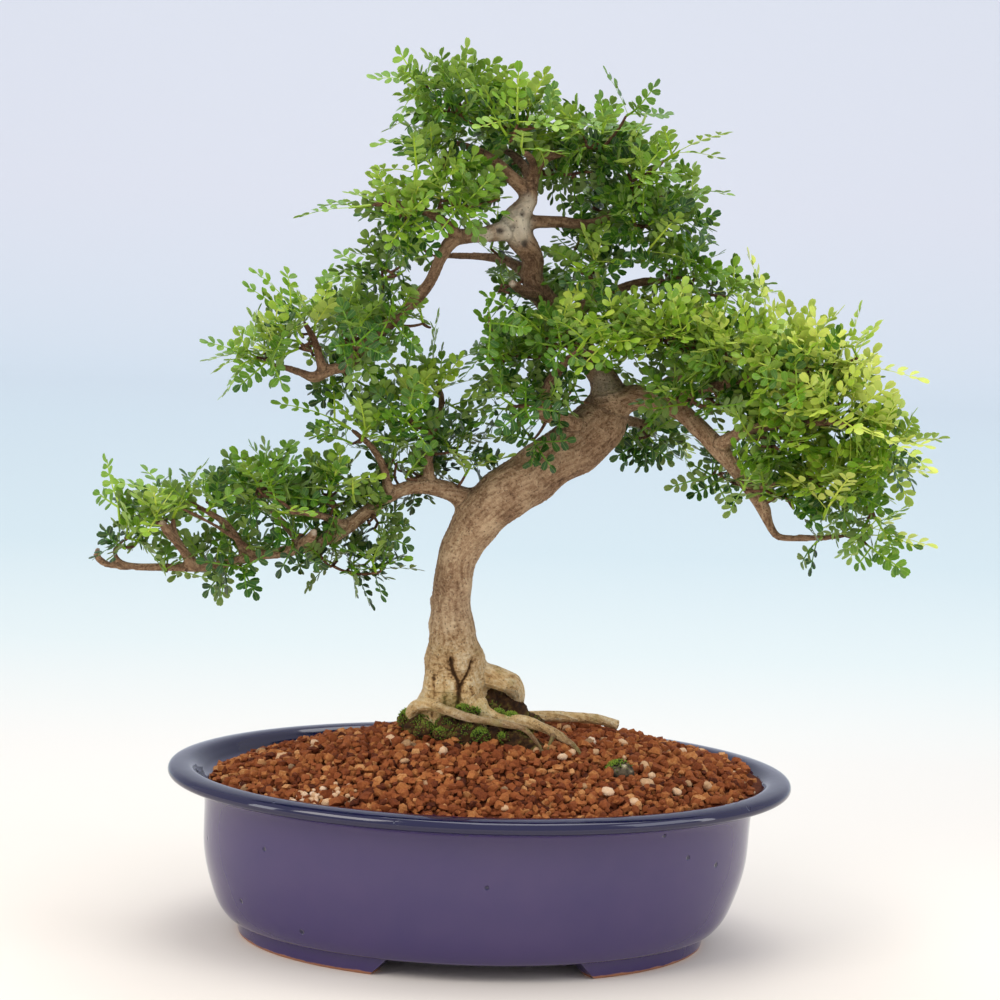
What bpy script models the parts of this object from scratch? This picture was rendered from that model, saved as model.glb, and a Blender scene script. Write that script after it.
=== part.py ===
"""Chinese pepper bonsai: an oval glazed pot, its grit soil, the grown tree and its leafy shoots.

Metres, +Z up, front towards -Y. The pot stands on its two feet at Z = 0. The origin lies under the
middle of the whole plant, whose crown reaches further to the right than to the left of the pot.
Lengths and points below are in mm from the middle of the pot's base; solid_object turns them to metres.
"""
import math
import random

import bpy
import bmesh
from mathutils import Vector, geometry
from mathutils.bvhtree import BVHTree

MM = 0.001
CLEARANCE = 0.3               # between neighbouring solids
POT_CENTRE = Vector((-0.014, 0.0, 0.0))     # in metres from the origin

# Pot: half length, half width and height of each ring, up the outside and down the inside.
POT_SEGMENTS = 32
POT_UNDERSIDE = 9.5
POT_OUTSIDE = [(128.5, 96.4, POT_UNDERSIDE), (137.5, 103.1, 14.5), (143.8, 107.8, 28.0),
               (147.6, 110.4, 48.0), (147.8, 110.4, 75.5), (154.0, 114.0, 84.5)]
POT_LIP = [(167.0, 122.5, 87.2), (170.0, 125.0, 89.8), (167.5, 122.5, 93.0), (160.5, 115.5, 93.8),
           (154.5, 109.5, 92.3)]
POT_INSIDE = [(143.0, 103.5, 80.0), (140.5, 103.0, 50.0), (134.0, 99.0, 27.0), (118.0, 87.0, 16.5)]
FOOT_OUTER = (127.7, 95.8)
FOOT_WIDTH = 12.0
FOOT_SINK = 1.5
FOOT_STEPS = 8
FOOT_END_AT_FLOOR = math.radians(62.0)     # each foot wraps one end of the oval up to this angle
FOOT_END_AT_TOP = math.radians(67.0)
DRAIN_HOLE_RADIUS = 11.0
DRAIN_HOLE_X = 62.0
DRAIN_HOLE_SIDES = 16
SCREEN_BARS = [-18.0, -14.0, -2.0, 2.0, 14.0, 18.0]     # edges of the screen's bars
SCREEN_THICKNESS = 0.8

# Soil: height of the mound above the pot's base.
SOIL_SEED = 7
SOIL_TOP = 115.0
SOIL_EDGE = 89.8
SOIL_TILT = 3.0               # the edge lies this much higher at the right end, lower at the left
SOIL_MOUND_POWER = 2.4
SOIL_REACH = (147.0, 105.0)
GRIT_PITCH = 13.5             # grit is shown larger than life, as relief
GRIT_SHIFT = 2.4              # each grain lies up to this far from its place in even rows
GRIT_RELIEF = (0.6, 2.0)      # least and most that a grain lies above or below the mound
GRIT_MARGIN = 7.0             # free strip between the grains and the edge
WALL_CLEARANCE = 0.6          # between the soil's facets and the pot's inner wall

# Wood: points (x, y, z, radius).
TRUNK = [(-13, 2, 98, 29), (-13, 1, 110, 28), (-14, 0, 119, 25.5), (-15, 0, 128, 22),
         (-16, -1, 139, 19.5), (-17, -3, 153, 17.2), (-17, -5, 170, 14.6), (-17, -7, 187, 13.2),
         (-15, -9, 206, 13.2),
         (-12, -10, 220, 13.8), (-5, -10, 235, 14.6), (7, -8, 248, 14.6), (20, -5, 257, 14.4),
         (33, -2, 265, 14), (46, 2, 273, 14.4), (57, 6, 284, 15), (63, 9, 297, 12), (60, 13, 309, 8.2),
         (50, 15, 321, 7), (40, 14, 335, 6.6), (27, 11, 350, 6.4), (19, 8, 362, 6.2), (19, 5, 374, 6.2),
         (12, 2, 384, 7), (9, 1, 394, 7.4), (15, 3, 403, 5.2), (16, 4, 411, 4.6)]
BRANCHES = {
    "low_left": (6, 13, [(-8, -6, 240, 8), (-21, -12, 248, 5.4), (-34, -16, 251, 4.6), (-45, -20, 250, 4.2),
                         (-55, -24, 245, 3.9), (-67, -27, 236, 4.0), (-76, -30, 229, 4.3),
                         (-89, -34, 222, 4.2), (-105, -36, 217, 3.8), (-121, -38, 214, 3.4),
                         (-136, -40, 210, 3.2), (-152, -42, 207, 3.0), (-168, -44, 207, 2.8),
                         (-184, -46, 207, 2.5), (-194, -46, 209, 2.3), (-197, -45, 216, 2.1),
                         (-190, -43, 222, 1.9)]),
    "low_left_rise": (4, 3, [(-127, -38, 212, 2.8), (-137, -41, 229, 2.2), (-150, -43, 238, 1.9),
                             (-161, -44, 243, 1.6)]),
    "low_left_end_rise": (4, 3, [(-153, -42, 207, 2.8), (-160, -46, 216, 2.3), (-165, -50, 226, 2.0),
                                 (-166, -54, 235, 1.6)]),
    "low_left_front": (4, 3, [(-76, -30, 230, 3.2), (-86, -46, 237, 2.4), (-96, -60, 241, 2.0),
                              (-104, -72, 243, 1.6)]),
    "low_left_back": (4, 3, [(-98, -34, 219, 3.0), (-108, -14, 226, 2.4), (-118, 4, 232, 2.0),
                             (-126, 22, 236, 1.6)]),
    "left_riser": (5, 4, [(-32, -16, 251, 3.6), (-33, -14, 264, 3.0), (-32, -10, 278, 2.6),
                          (-27, -8, 294, 2.2), (-30, -10, 308, 1.7)]),
    "left_riser_outer": (4, 3, [(-54, -24, 246, 3.2), (-56, -26, 260, 2.6), (-63, -31, 273, 2.2),
                                (-74, -36, 283, 1.7)]),
    "mid_left": (6, 10, [(8, 1, 389, 6), (-10, -8, 386, 4.4), (-23, -14, 384, 4.2), (-30, -18, 374, 3.7),
                         (-36, -22, 360, 3.5), (-50, -26, 344, 3.5), (-66, -30, 330, 3.9),
                         (-76, -32, 317, 3.5), (-86, -34, 314, 3.2), (-94, -36, 310, 3.1),
                         (-103, -38, 313, 2.4), (-116, -42, 317, 1.8)]),
    "mid_left_rise": (4, 3, [(-90, -35, 313, 2.8), (-95, -36, 330, 2.3), (-101, -38, 340, 1.7)]),
    "mid_left_back": (4, 3, [(-64, -30, 331, 3.0), (-72, -10, 338, 2.4), (-82, 10, 341, 2.0),
                             (-88, 28, 345, 1.6)]),
    "bare_knob_left": (5, 4, [(-20, -13, 384, 3.6), (-28, -20, 393, 2.9), (-42, -26, 400, 2.5),
                              (-55, -30, 403, 2.2), (-67, -34, 402, 1.7)]),
    "apex_left": (5, 5, [(16, 4, 408, 4.6), (7, 2, 416, 3.8), (1, 0, 422, 3.4), (-9, -4, 429, 2.8),
                         (-18, -6, 433, 2.2), (-25, -8, 435, 1.8)]),
    "apex_right": (5, 4, [(16, 4, 409, 4.4), (19, 8, 421, 3.6), (25, 10, 428, 3.2), (34, 13, 430, 2.6),
                          (42, 15, 433, 1.8)]),
    "apex_front": (4, 3, [(18, 7, 419, 3.2), (17, -10, 426, 2.6), (14, -27, 431, 2.1),
                          (12, -40, 432, 1.7)]),
    "apex_back": (4, 3, [(17, 6, 416, 3.4), (10, 24, 425, 2.7), (2, 42, 429, 2.2), (-4, 55, 429, 1.7)]),
    "upper_right": (5, 6, [(12, 2, 391, 5), (20, 6, 393, 3.8), (34, 11, 393, 3.4), (49, 16, 392, 3.2),
                           (61, 20, 397, 2.9), (76, 26, 404, 2.4), (90, 32, 408, 1.8)]),
    "upper_right_rise": (4, 3, [(60, 20, 396, 2.8), (71, 14, 410, 2.3), (80, 6, 422, 2.0),
                                (87, 0, 428, 1.6)]),
    "right_middle": (5, 5, [(38, 13, 338, 5), (51, 17, 350, 3.6), (63, 20, 355, 3.2), (78, 24, 361, 2.7),
                            (94, 28, 361, 2.2), (108, 30, 358, 1.7)]),
    "front_stub": (5, 5, [(48, -3, 284, 5), (38, -12, 290, 4.2), (28, -18, 293, 4.4), (30, -22, 308, 4.0),
                          (37, -30, 321, 2.9), (44, -40, 329, 1.9)]),
    "right_main": (6, 11, [(60, 5, 292, 11), (75, 5, 300, 7.4), (86, 2, 300, 6.2), (98, -4, 297, 5.6),
                           (108, -10, 290, 5.2), (118, -17, 281, 5.2), (126, -22, 273, 5.0),
                           (138, -27, 259, 4.6), (146, -30, 248, 4.4), (150, -31, 239, 3.2),
                           (155, -33, 232, 2.8), (166, -35, 232, 2.5), (178, -38, 234, 2.2),
                           (190, -41, 236, 1.8)]),
    "right_top": (5, 5, [(92, 0, 299, 5), (106, -12, 305, 3.6), (121, -24, 312, 3.0), (141, -36, 319, 2.5),
                         (160, -44, 324, 2.1), (178, -50, 327, 1.7)]),
    "right_front": (5, 5, [(121, -19, 278, 4.4), (132, -34, 288, 3.4), (149, -50, 295, 2.8),
                           (165, -61, 298, 2.4), (178, -68, 300, 2.0), (189, -73, 299, 1.6)]),
    "right_low": (4, 3, [(139, -26, 259, 3.6), (158, -40, 264, 2.6), (174, -50, 269, 2.1),
                         (188, -56, 272, 1.7)]),
    "right_back": (5, 4, [(82, 4, 299, 5), (97, 24, 308, 3.4), (115, 38, 318, 2.7), (132, 48, 326, 1.8)]),
    "back_right": (5, 4, [(60, 8, 286, 6), (73, 32, 284, 3.6), (86, 48, 280, 2.9), (97, 62, 276, 1.8)]),
    "back_middle": (5, 4, [(40, 14, 334, 5), (34, 40, 342, 3.2), (24, 62, 346, 2.6), (14, 80, 346, 1.8)]),
    "back_left": (5, 4, [(19, 8, 364, 4.6), (4, 32, 370, 3.0), (-16, 50, 370, 2.4), (-36, 66, 368, 1.7)]),
}
ROOTS = [
    [(-37, -6, 126, 4), (-34, -14, 133, 4.2), (-22, -23, 129, 3.6), (-6, -28, 125, 3.2), (10, -30, 123, 3.1),
     (21, -33, 119, 3), (30, -37, 113, 2.8), (36, -40, 106, 2.2)],
    [(0, -14, 127, 4.4), (13, -19, 126, 3.8), (21, -22, 124, 3.6), (35, -27, 118, 3.5), (45, -31, 113, 3.2),
     (54, -34, 105, 2.4)],
    [(-8, -4, 145, 8), (4, -6, 146, 7.2), (14, -4, 146, 7), (21, 0, 142, 6.8), (23, 5, 134, 5.6),
     (21, 9, 124, 5.4), (20, 12, 108, 5)],
    [(5, 8, 118, 6), (26, 14, 118, 4.8), (42, 18, 117.5, 4.2), (58, 22, 116, 4.1), (76, 27, 113, 3.8)],
    [(-22, 8, 118, 6), (-42, 16, 115, 4.4), (-60, 24, 111.5, 3.4), (-72, 28, 104, 2.4)],
    [(-12, 14, 118, 6), (-8, 34, 115, 4.2), (2, 50, 111, 3.2), (8, 60, 103, 2.2)],
]
ROOT_SIDES = 5
ROOT_RINGS = 5
TRUNK_SIDES = 12
TRUNK_RINGS = 21
FLARE_LOBES = 5               # folds round the flared base
FLARE_FOLD = 0.13             # their depth, as a share of the radius
FLARE_TURN = 0.6              # turns the folds round the trunk, in radians
FLARE_TOP = 165.0             # the folds end at this height
FLARE_FADE = 50.0             # and have their full depth this far below it
TRUNK_WAVE = 0.04             # unevenness of the whole trunk, as a share of the radius
TRUNK_WAVE_HEIGHT = 9.0       # height over which that unevenness turns by one radian
TWIG_SIDES = 4
TWIG_RADII = (1.9, 1.5)
TWIG_TURNS = [math.radians(turn) for turn in (-62, 62, 5)]     # round the branch, one after the other
TWIG_LEAN = 0.35              # share of the branch's own direction in the twig's
TWIG_KNEE = 0.6               # share of its length where the twig starts to bend up
TWIG_BEND = 0.18              # how far it bends up, as a share of its length

# Leafy side shoots: branch, shares of its length where woody side twigs stand, and twig length.
# Every branch also ends in a leafy shoot of its own.
SIDE_SHOOTS = [
    ("low_left", (0.30, 0.58, 0.84), 17), ("left_riser", (0.62,), 17), ("mid_left", (0.42, 0.74), 17),
    ("bare_knob_left", (0.55,), 17), ("apex_left", (0.45, 0.72), 8), ("apex_right", (0.55,), 9),
    ("apex_front", (0.5,), 10), ("apex_back", (0.5,), 10), ("upper_right", (0.55,), 18),
    ("right_middle", (0.5,), 17), ("front_stub", (0.72,), 14), ("right_main", (0.36, 0.9), 17),
    ("right_top", (0.6,), 17), ("right_front", (0.62,), 17), ("right_back", (0.55,), 17),
    ("back_right", (0.55,), 17), ("back_middle", (0.55,), 17), ("back_left", (0.5,), 17),
]

# Leaves. A leaf is one thin arched blade whose outline is cut to its rib.
LEAF_SEED = 524000
LEAF_THICKNESS = 0.7
LEAF_LENGTH = (42.0, 50.0)
LEAF_ARCH = 0.2               # how far the tip sinks, as a share of the length
LEAF_DRAWN_BACK = 0.3         # share of that by which the arched tip reaches less far
LEAF_KEEL = 0.2               # rise of the leaflets away from the rib
PETIOLE_SHARE = 0.2           # bare start of the rib
RIB_HALF_WIDTH = 0.7
SIDE_PAIRS = 2                # pairs of leaflets on a side leaf
END_PAIRS = 3                 # and on the leaf at the tip of a shoot
END_LEAFLET_PITCHES = 1.05    # length of the end leaflet, in steps from pair to pair
END_SHOULDER = 0.2            # its widest place, in the same steps back from its tip
END_HALF_WIDTH = 4.4
LEAFLET_REACH = 10.5          # from the rib to the outer edge of a leaflet
FIRST_PAIR_REACH = 0.86       # the first pair is this much of it
LEAFLET_BACK = (0.62, 0.93)   # its rear outer corner: steps behind the pair, and share of the reach
LEAFLET_FRONT = 0.04          # its front outer corner: steps ahead of the pair

# Leafy shoots: leaves stand on alternate sides of a short green strip, and one ends it.
SHOOT_LENGTH = 11.0
SHOOT_HALF_WIDTH = 0.9
SHOOT_FOOT = 1.2              # straight start of a shoot, square to the twig that it grows from
OUTWARD_DEPTH = 1.3           # leaves face outward, more strongly to the front and the back
OUTWARD_FACE = 0.5
FACE_SWAY = 0.3
SIDE_LEAF_SHARE = 0.92        # length of a side leaf to that of an end leaf
SIDE_LEAF_AHEAD = (0.35, 0.75)
SIDE_LEAF_LIFT = (0.05, 0.5)
END_LEAF_LIFT = (-0.15, 0.3)
END_LEAF_SWAY = 0.2
LEAF_TRIES = 40
FULL_TRIES = 28               # later tries leave a side leaf out
TRY_SWAY = (0.25, 0.03)       # how far a shoot may lean at the first try, and more at each later one
LEAF_SPACING = 0.9            # extra thickness of the blade that must find free room among the others
WOOD_SPACING = 0.1            # and beside the wood


def clear_scene():
    for item in list(bpy.data.objects):
        bpy.data.objects.remove(item, do_unlink=True)


def material(name, colour, roughness, metallic=0.0):
    made = bpy.data.materials.new(name)
    made.use_nodes = True
    shader = made.node_tree.nodes["Principled BSDF"]
    shader.inputs["Base Color"].default_value = (*colour, 1.0)
    shader.inputs["Roughness"].default_value = roughness
    shader.inputs["Metallic"].default_value = metallic
    return made


def solid_object(name, points, faces, finish=None):
    """Make a closed mesh object from points in mm round the pot's centre."""
    mesh = bpy.data.meshes.new(name)
    mesh.from_pydata([POT_CENTRE + Vector(p) * MM for p in points], [], faces)
    work = bmesh.new()
    work.from_mesh(mesh)
    bmesh.ops.recalc_face_normals(work, faces=work.faces)
    bmesh.ops.triangulate(work, faces=work.faces)
    work.to_mesh(mesh)
    work.free()
    made = bpy.data.objects.new(name, mesh)
    if finish:
        mesh.materials.append(finish)
    bpy.context.scene.collection.objects.link(made)
    return made


def combine(target, others, operation, solver="EXACT"):
    """Join the others to the target, or cut them from it, and remove them."""
    group = bpy.data.collections.new("Combined")
    bpy.context.scene.collection.children.link(group)
    for other in others:
        group.objects.link(other)
    modifier = target.modifiers.new("Combine", "BOOLEAN")
    modifier.operand_type = "COLLECTION"
    modifier.collection = group
    modifier.operation = operation
    modifier.solver = solver
    graph = bpy.context.evaluated_depsgraph_get()
    mesh = bpy.data.meshes.new_from_object(target.evaluated_get(graph))
    target.modifiers.clear()
    target.data = mesh
    for other in others:
        bpy.data.objects.remove(other, do_unlink=True)
    bpy.data.collections.remove(group)


def smooth_round(item, angle=math.radians(40.0)):
    item.data.shade_smooth()
    item.data.set_sharp_from_angle(angle=angle)


def oval_ring(half_length, half_width, height):
    return [Vector((half_length * math.cos(2 * math.pi * k / POT_SEGMENTS),
                    half_width * math.sin(2 * math.pi * k / POT_SEGMENTS), height))
            for k in range(POT_SEGMENTS)]


def bridge(first, second, count):
    """Quads between two closed rings of count points that start at the given indices."""
    return [(first + k, first + (k + 1) % count, second + (k + 1) % count, second + k)
            for k in range(count)]


def loft(rings):
    """Closed body through rings of equal size, with flat end caps."""
    count = len(rings[0])
    points = [p for ring in rings for p in ring]
    faces = [face for level in range(len(rings) - 1)
             for face in bridge(level * count, (level + 1) * count, count)]
    faces.append(tuple(range(count - 1, -1, -1)))
    faces.append(tuple(range(len(points) - count, len(points))))
    return points, faces


def foot(side):
    """One C-shaped foot round an end of the oval, with slanted ends."""
    sections = []
    for step in range(FOOT_STEPS + 1):
        share = 2 * step / FOOT_STEPS - 1
        section = []
        for (inset, height, end) in ((0, 0, FOOT_END_AT_FLOOR),
                                     (0, POT_UNDERSIDE + FOOT_SINK, FOOT_END_AT_TOP),
                                     (FOOT_WIDTH, POT_UNDERSIDE + FOOT_SINK, FOOT_END_AT_TOP),
                                     (FOOT_WIDTH, 0, FOOT_END_AT_FLOOR)):
            angle = share * end
            section.append(Vector((side * (FOOT_OUTER[0] - inset) * math.cos(angle),
                                   (FOOT_OUTER[1] - inset) * math.sin(angle), height)))
        sections.append(section)
    return solid_object("Foot", *loft(sections))


def drain_hole(side):
    angles = [2 * math.pi * k / DRAIN_HOLE_SIDES for k in range(DRAIN_HOLE_SIDES)]
    rings = [[Vector((side * DRAIN_HOLE_X + DRAIN_HOLE_RADIUS * math.cos(angle),
                      DRAIN_HOLE_RADIUS * math.sin(angle), height)) for angle in angles]
             for height in (0.0, 2 * POT_UNDERSIDE)]
    return solid_object("Drain hole", *loft(rings))


def make_pot():
    glaze = material("Cobalt glaze", (0.012, 0.011, 0.115), 0.12)
    rings = [oval_ring(*level) for level in POT_OUTSIDE + POT_LIP + POT_INSIDE]
    pot = solid_object("pot", *loft(rings), glaze)
    combine(pot, [foot(1), foot(-1)], "UNION")
    combine(pot, [drain_hole(1), drain_hole(-1)], "DIFFERENCE")
    smooth_round(pot)
    return pot


def thick_sheet(points, triangles, thickness):
    """Closed body from a triangulated sheet: both faces alike, with a wall along the sheet's border."""
    normals = [Vector((0, 0, 0)) for _ in points]
    border = {}
    for triangle in triangles:
        a, b, c = (points[i] for i in triangle)
        normal = (b - a).cross(c - a)
        for i in triangle:
            normals[i] += normal
        for start, end in zip(triangle, triangle[1:] + triangle[:1]):
            if (end, start) in border:
                del border[(end, start)]
            else:
                border[(start, end)] = True
    half = thickness / 2
    upper = [p + n.normalized() * half for p, n in zip(points, normals)]
    lower = [p - n.normalized() * half for p, n in zip(points, normals)]
    count = len(points)
    faces = [tuple(t) for t in triangles]
    faces += [(c + count, b + count, a + count) for a, b, c in triangles]
    faces += [(end, start, start + count, end + count) for start, end in border]
    return upper + lower, faces


def make_screen(name, side):
    """Square plastic screen with four windows, lying on the pot's floor over a drain hole."""
    height = POT_INSIDE[-1][2] + CLEARANCE + SCREEN_THICKNESS / 2
    size = len(SCREEN_BARS)
    points = [Vector((side * DRAIN_HOLE_X + x, y, height)) for y in SCREEN_BARS for x in SCREEN_BARS]
    triangles = []
    for row in range(size - 1):
        for column in range(size - 1):
            if row % 2 and column % 2:
                continue
            a = row * size + column
            triangles += [(a, a + 1, a + 1 + size), (a, a + 1 + size, a + size)]
    black = material("Black plastic " + name, (0.02, 0.02, 0.02), 0.5)
    return solid_object(name, *thick_sheet(points, triangles, SCREEN_THICKNESS), black)


def soil_height(x, y):
    """Height of the mound: highest round the trunk, falling to the rim all round."""
    reach = min(math.hypot(x / SOIL_REACH[0], y / SOIL_REACH[1]), 1.0)
    edge = SOIL_EDGE + SOIL_TILT * x / SOIL_REACH[0]
    return edge + (SOIL_TOP - edge) * (1 - reach ** SOIL_MOUND_POWER)


def soil_rim():
    """Ring where the soil meets the pot's flared inner wall, a little inside it."""
    low, high = POT_INSIDE[0], POT_LIP[-1]
    ring = []
    for k in range(POT_SEGMENTS):
        angle = 2 * math.pi * k / POT_SEGMENTS
        height = soil_height(SOIL_REACH[0] * math.cos(angle), SOIL_REACH[1] * math.sin(angle))
        share = (height - low[2]) / (high[2] - low[2])
        half_length = low[0] + share * (high[0] - low[0]) - 2 * WALL_CLEARANCE
        half_width = low[1] + share * (high[1] - low[1]) - 2 * WALL_CLEARANCE
        ring.append(Vector((half_length * math.cos(angle), half_width * math.sin(angle), height)))
    return ring


def soil_top(rim):
    """Irregular triangles over the mound: every point lies a little above or below it, as grit does."""
    draw = random.Random(SOIL_SEED)
    flat = [Vector((p.x, p.y)) for p in rim]
    row_step = GRIT_PITCH * math.sqrt(0.75)     # three neighbours stand in a triangle of equal sides
    rows = int(SOIL_REACH[1] / row_step)
    columns = int(SOIL_REACH[0] / GRIT_PITCH)
    for row in range(-rows, rows + 1):
        for column in range(-columns - 1, columns + 1):
            x = (column + 0.5 * (row % 2)) * GRIT_PITCH + draw.uniform(-GRIT_SHIFT, GRIT_SHIFT)
            y = row * row_step + draw.uniform(-GRIT_SHIFT, GRIT_SHIFT)
            if math.hypot(x / (SOIL_REACH[0] - GRIT_MARGIN), y / (SOIL_REACH[1] - GRIT_MARGIN)) < 1:
                flat.append(Vector((x, y)))
    border = list(range(len(rim)))
    flat, _, triangles, _, _, _ = geometry.delaunay_2d_cdt(flat, [], [border], 1, 0.001)
    heights = [p.z for p in rim]
    for p in flat[len(rim):]:
        heights.append(soil_height(*p) + draw.choice((-1, 1)) * draw.uniform(*GRIT_RELIEF))
    return [Vector((p.x, p.y, z)) for p, z in zip(flat, heights)], [tuple(t) for t in triangles]


def make_soil(cutters):
    earth = material("Fired clay grit", (0.25, 0.07, 0.022), 0.95)
    rim = soil_rim()
    points, faces = soil_top(rim)
    upper = 0
    for level, (half_length, half_width, height) in enumerate(POT_INSIDE):
        lift = WALL_CLEARANCE if level == len(POT_INSIDE) - 1 else 0
        lower = len(points)
        points += oval_ring(half_length - WALL_CLEARANCE, half_width - WALL_CLEARANCE, height + lift)
        faces += bridge(upper, lower, POT_SEGMENTS)
        upper = lower
    faces.append(tuple(range(upper, upper + POT_SEGMENTS)))
    soil = solid_object("soil", points, faces, earth)
    combine(soil, cutters + [screen_room(1), screen_room(-1)], "DIFFERENCE")
    return soil


def screen_room(side):
    """Block that leaves room in the soil's underside for a screen."""
    reach = SCREEN_BARS[-1] + CLEARANCE
    floor = POT_INSIDE[-1][2]
    corners = [(-reach, -reach), (reach, -reach), (reach, reach), (-reach, reach)]
    rings = [[Vector((side * DRAIN_HOLE_X + x, y, z)) for x, y in corners]
             for z in (floor, floor + SCREEN_THICKNESS + 2 * CLEARANCE)]
    return solid_object("Screen room", *loft(rings))


def smooth_path(route, steps):
    """Evenly spread points and radii on a smooth curve through the route's own points."""
    rows = [Vector(row[:3]) for row in route]
    radii = [row[3] for row in route]
    rows = [2 * rows[0] - rows[1]] + rows + [2 * rows[-1] - rows[-2]]
    radii = [radii[0]] + radii + [radii[-1]]
    path = []
    spans = len(route) - 1
    for step in range(steps + 1):
        place = min(step * spans / steps, spans - 1e-6)
        k, t = int(place), place - int(place)
        a, b, c, d = rows[k:k + 4]
        point = 0.5 * (2 * b + (c - a) * t + (2 * a - 5 * b + 4 * c - d) * t * t
                       + (3 * b - a - 3 * c + d) * t ** 3)
        radius = radii[k + 1] + (radii[k + 2] - radii[k + 1]) * (3 * t * t - 2 * t ** 3)
        path.append((point, radius))
    return path


def directions(path):
    """Direction of travel at each point of a path."""
    last = len(path) - 1
    return [(path[min(k + 1, last)][0] - path[max(k - 1, 0)][0]).normalized() for k in range(last + 1)]


def tube(name, path, sides, fatten=0.0, fold=None):
    """Closed tube along a path, with flat ends; its rings turn with the path without twisting."""
    rings = []
    starts_along_y = abs((path[1][0] - path[0][0]).normalized().y) >= 0.8
    across = Vector((1, 0, 0)) if starts_along_y else Vector((0, 1, 0))
    for (centre, radius), along in zip(path, directions(path)):
        across = (across - along * across.dot(along)).normalized()
        over = along.cross(across)
        ring = []
        for k in range(sides):
            angle = 2 * math.pi * k / sides
            reach = radius * (fold(angle, centre.z) if fold else 1.0) + fatten
            ring.append(centre + (across * math.cos(angle) + over * math.sin(angle)) * reach)
        rings.append(ring)
    return solid_object(name, *loft(rings))


def flare_fold(angle, height):
    """Folds of the flared base, which fade out up the trunk, and a slight unevenness above."""
    depth = FLARE_FOLD * max(0.0, min(1.0, (FLARE_TOP - height) / FLARE_FADE))
    wave = TRUNK_WAVE * math.sin(2 * angle + height / TRUNK_WAVE_HEIGHT)
    return 1 + depth * math.cos(FLARE_LOBES * angle + FLARE_TURN) + wave


def lower_wood(fatten):
    """Trunk and roots; fattened, they are what is cut from the soil."""
    solids = [tube("Trunk", smooth_path(TRUNK, TRUNK_RINGS), TRUNK_SIDES, fatten, flare_fold)]
    solids += [tube("Root", smooth_path(route, ROOT_RINGS), ROOT_SIDES, fatten) for route in ROOTS]
    return solids


def point_on(path, share):
    """Point, radius and direction at a share of a path's length."""
    place = share * (len(path) - 1)
    k = min(int(place), len(path) - 2)
    t = place - k
    (start, r0), (end, r1) = path[k], path[k + 1]
    return start.lerp(end, t), r0 + (r1 - r0) * t, (end - start).normalized()


def side_twig(path, share, length, turn):
    """Short woody twig that leaves a branch sideways and bends up; returns its own path."""
    start, radius, along = point_on(path, share)
    side = along.cross(Vector((0, 0, 1))).normalized()
    rise = side.cross(along)
    out = (along * TWIG_LEAN + side * math.sin(turn) + rise * math.cos(turn)).normalized()
    reach = radius + length
    bend = Vector((0, 0, TWIG_BEND * reach))
    return smooth_path([(*start, TWIG_RADII[0]), (*(start + out * reach * TWIG_KNEE), TWIG_RADII[0]),
                        (*(start + out * reach + bend), TWIG_RADII[1])], 2)


def wood_plan():
    """Paths of all branches, and of the woody twigs that carry the side shoots."""
    branches = {name: smooth_path(route, rings) for name, (_, rings, route) in BRANCHES.items()}
    twigs = []
    for name, shares, length in SIDE_SHOOTS:
        for share in shares:
            turn = TWIG_TURNS[len(twigs) % len(TWIG_TURNS)]
            twigs.append(side_twig(branches[name], share, length, turn))
    return branches, twigs


def make_tree(branches, twigs):
    bark = material("Bark", (0.33, 0.20, 0.11), 0.85)
    solids = lower_wood(0.0)
    solids += [tube(name, path, BRANCHES[name][0]) for name, path in branches.items()]
    solids += [tube("Twig", path, TWIG_SIDES) for path in twigs]
    tree = solids[0]
    tree.name = "tree"
    combine(tree, solids[1:], "UNION", "MANIFOLD")
    tree.data.materials.clear()
    tree.data.materials.append(bark)
    smooth_round(tree, math.radians(60.0))
    return tree


def grow_leaf(points, triangles, base, aim, up, length, pairs):
    """Add a leaf to a sheet. Its rib starts at the base edge (two point numbers) and arches down;
    each leaflet is a four-sided flap between two stations of the rib, and one flap ends the leaf."""
    side = aim.cross(up).normalized()
    up = side.cross(aim)
    start = (points[base[0]] + points[base[1]]) / 2

    def place(along, across):
        share = along / length
        sink = LEAF_ARCH * length * share * share
        forward = along - LEAF_DRAWN_BACK * sink
        return start + aim * forward + side * across + up * (LEAF_KEEL * abs(across) - sink)

    def add(along, across):
        points.append(place(along, across))
        return len(points) - 1

    petiole = PETIOLE_SHARE * length
    pitch = (length - petiole) / (pairs + END_LEAFLET_PITCHES)
    left, right = base
    for station in range(pairs + 1):
        along = petiole + station * pitch
        next_left, next_right = add(along, -RIB_HALF_WIDTH), add(along, RIB_HALF_WIDTH)
        triangles += [(left, right, next_right), (left, next_right, next_left)]
        if station:
            reach = LEAFLET_REACH * (FIRST_PAIR_REACH if station == 1 else 1.0)
            for hand, back, front in ((1, right, next_right), (-1, left, next_left)):
                near = add(along - LEAFLET_BACK[0] * pitch, hand * reach * LEAFLET_BACK[1])
                far = add(along + LEAFLET_FRONT * pitch, hand * reach)
                flap = [(back, near, far), (back, far, front)]
                triangles += flap if hand == 1 else [(c, b, a) for a, b, c in flap]
        left, right = next_left, next_right
    tip_right = add(length - END_SHOULDER * pitch, END_HALF_WIDTH)
    tip_left = add(length - END_SHOULDER * pitch, -END_HALF_WIDTH)
    tip = add(length, 0)
    triangles += [(left, right, tip_right), (left, tip_right, tip_left), (tip_left, tip_right, tip)]


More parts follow.
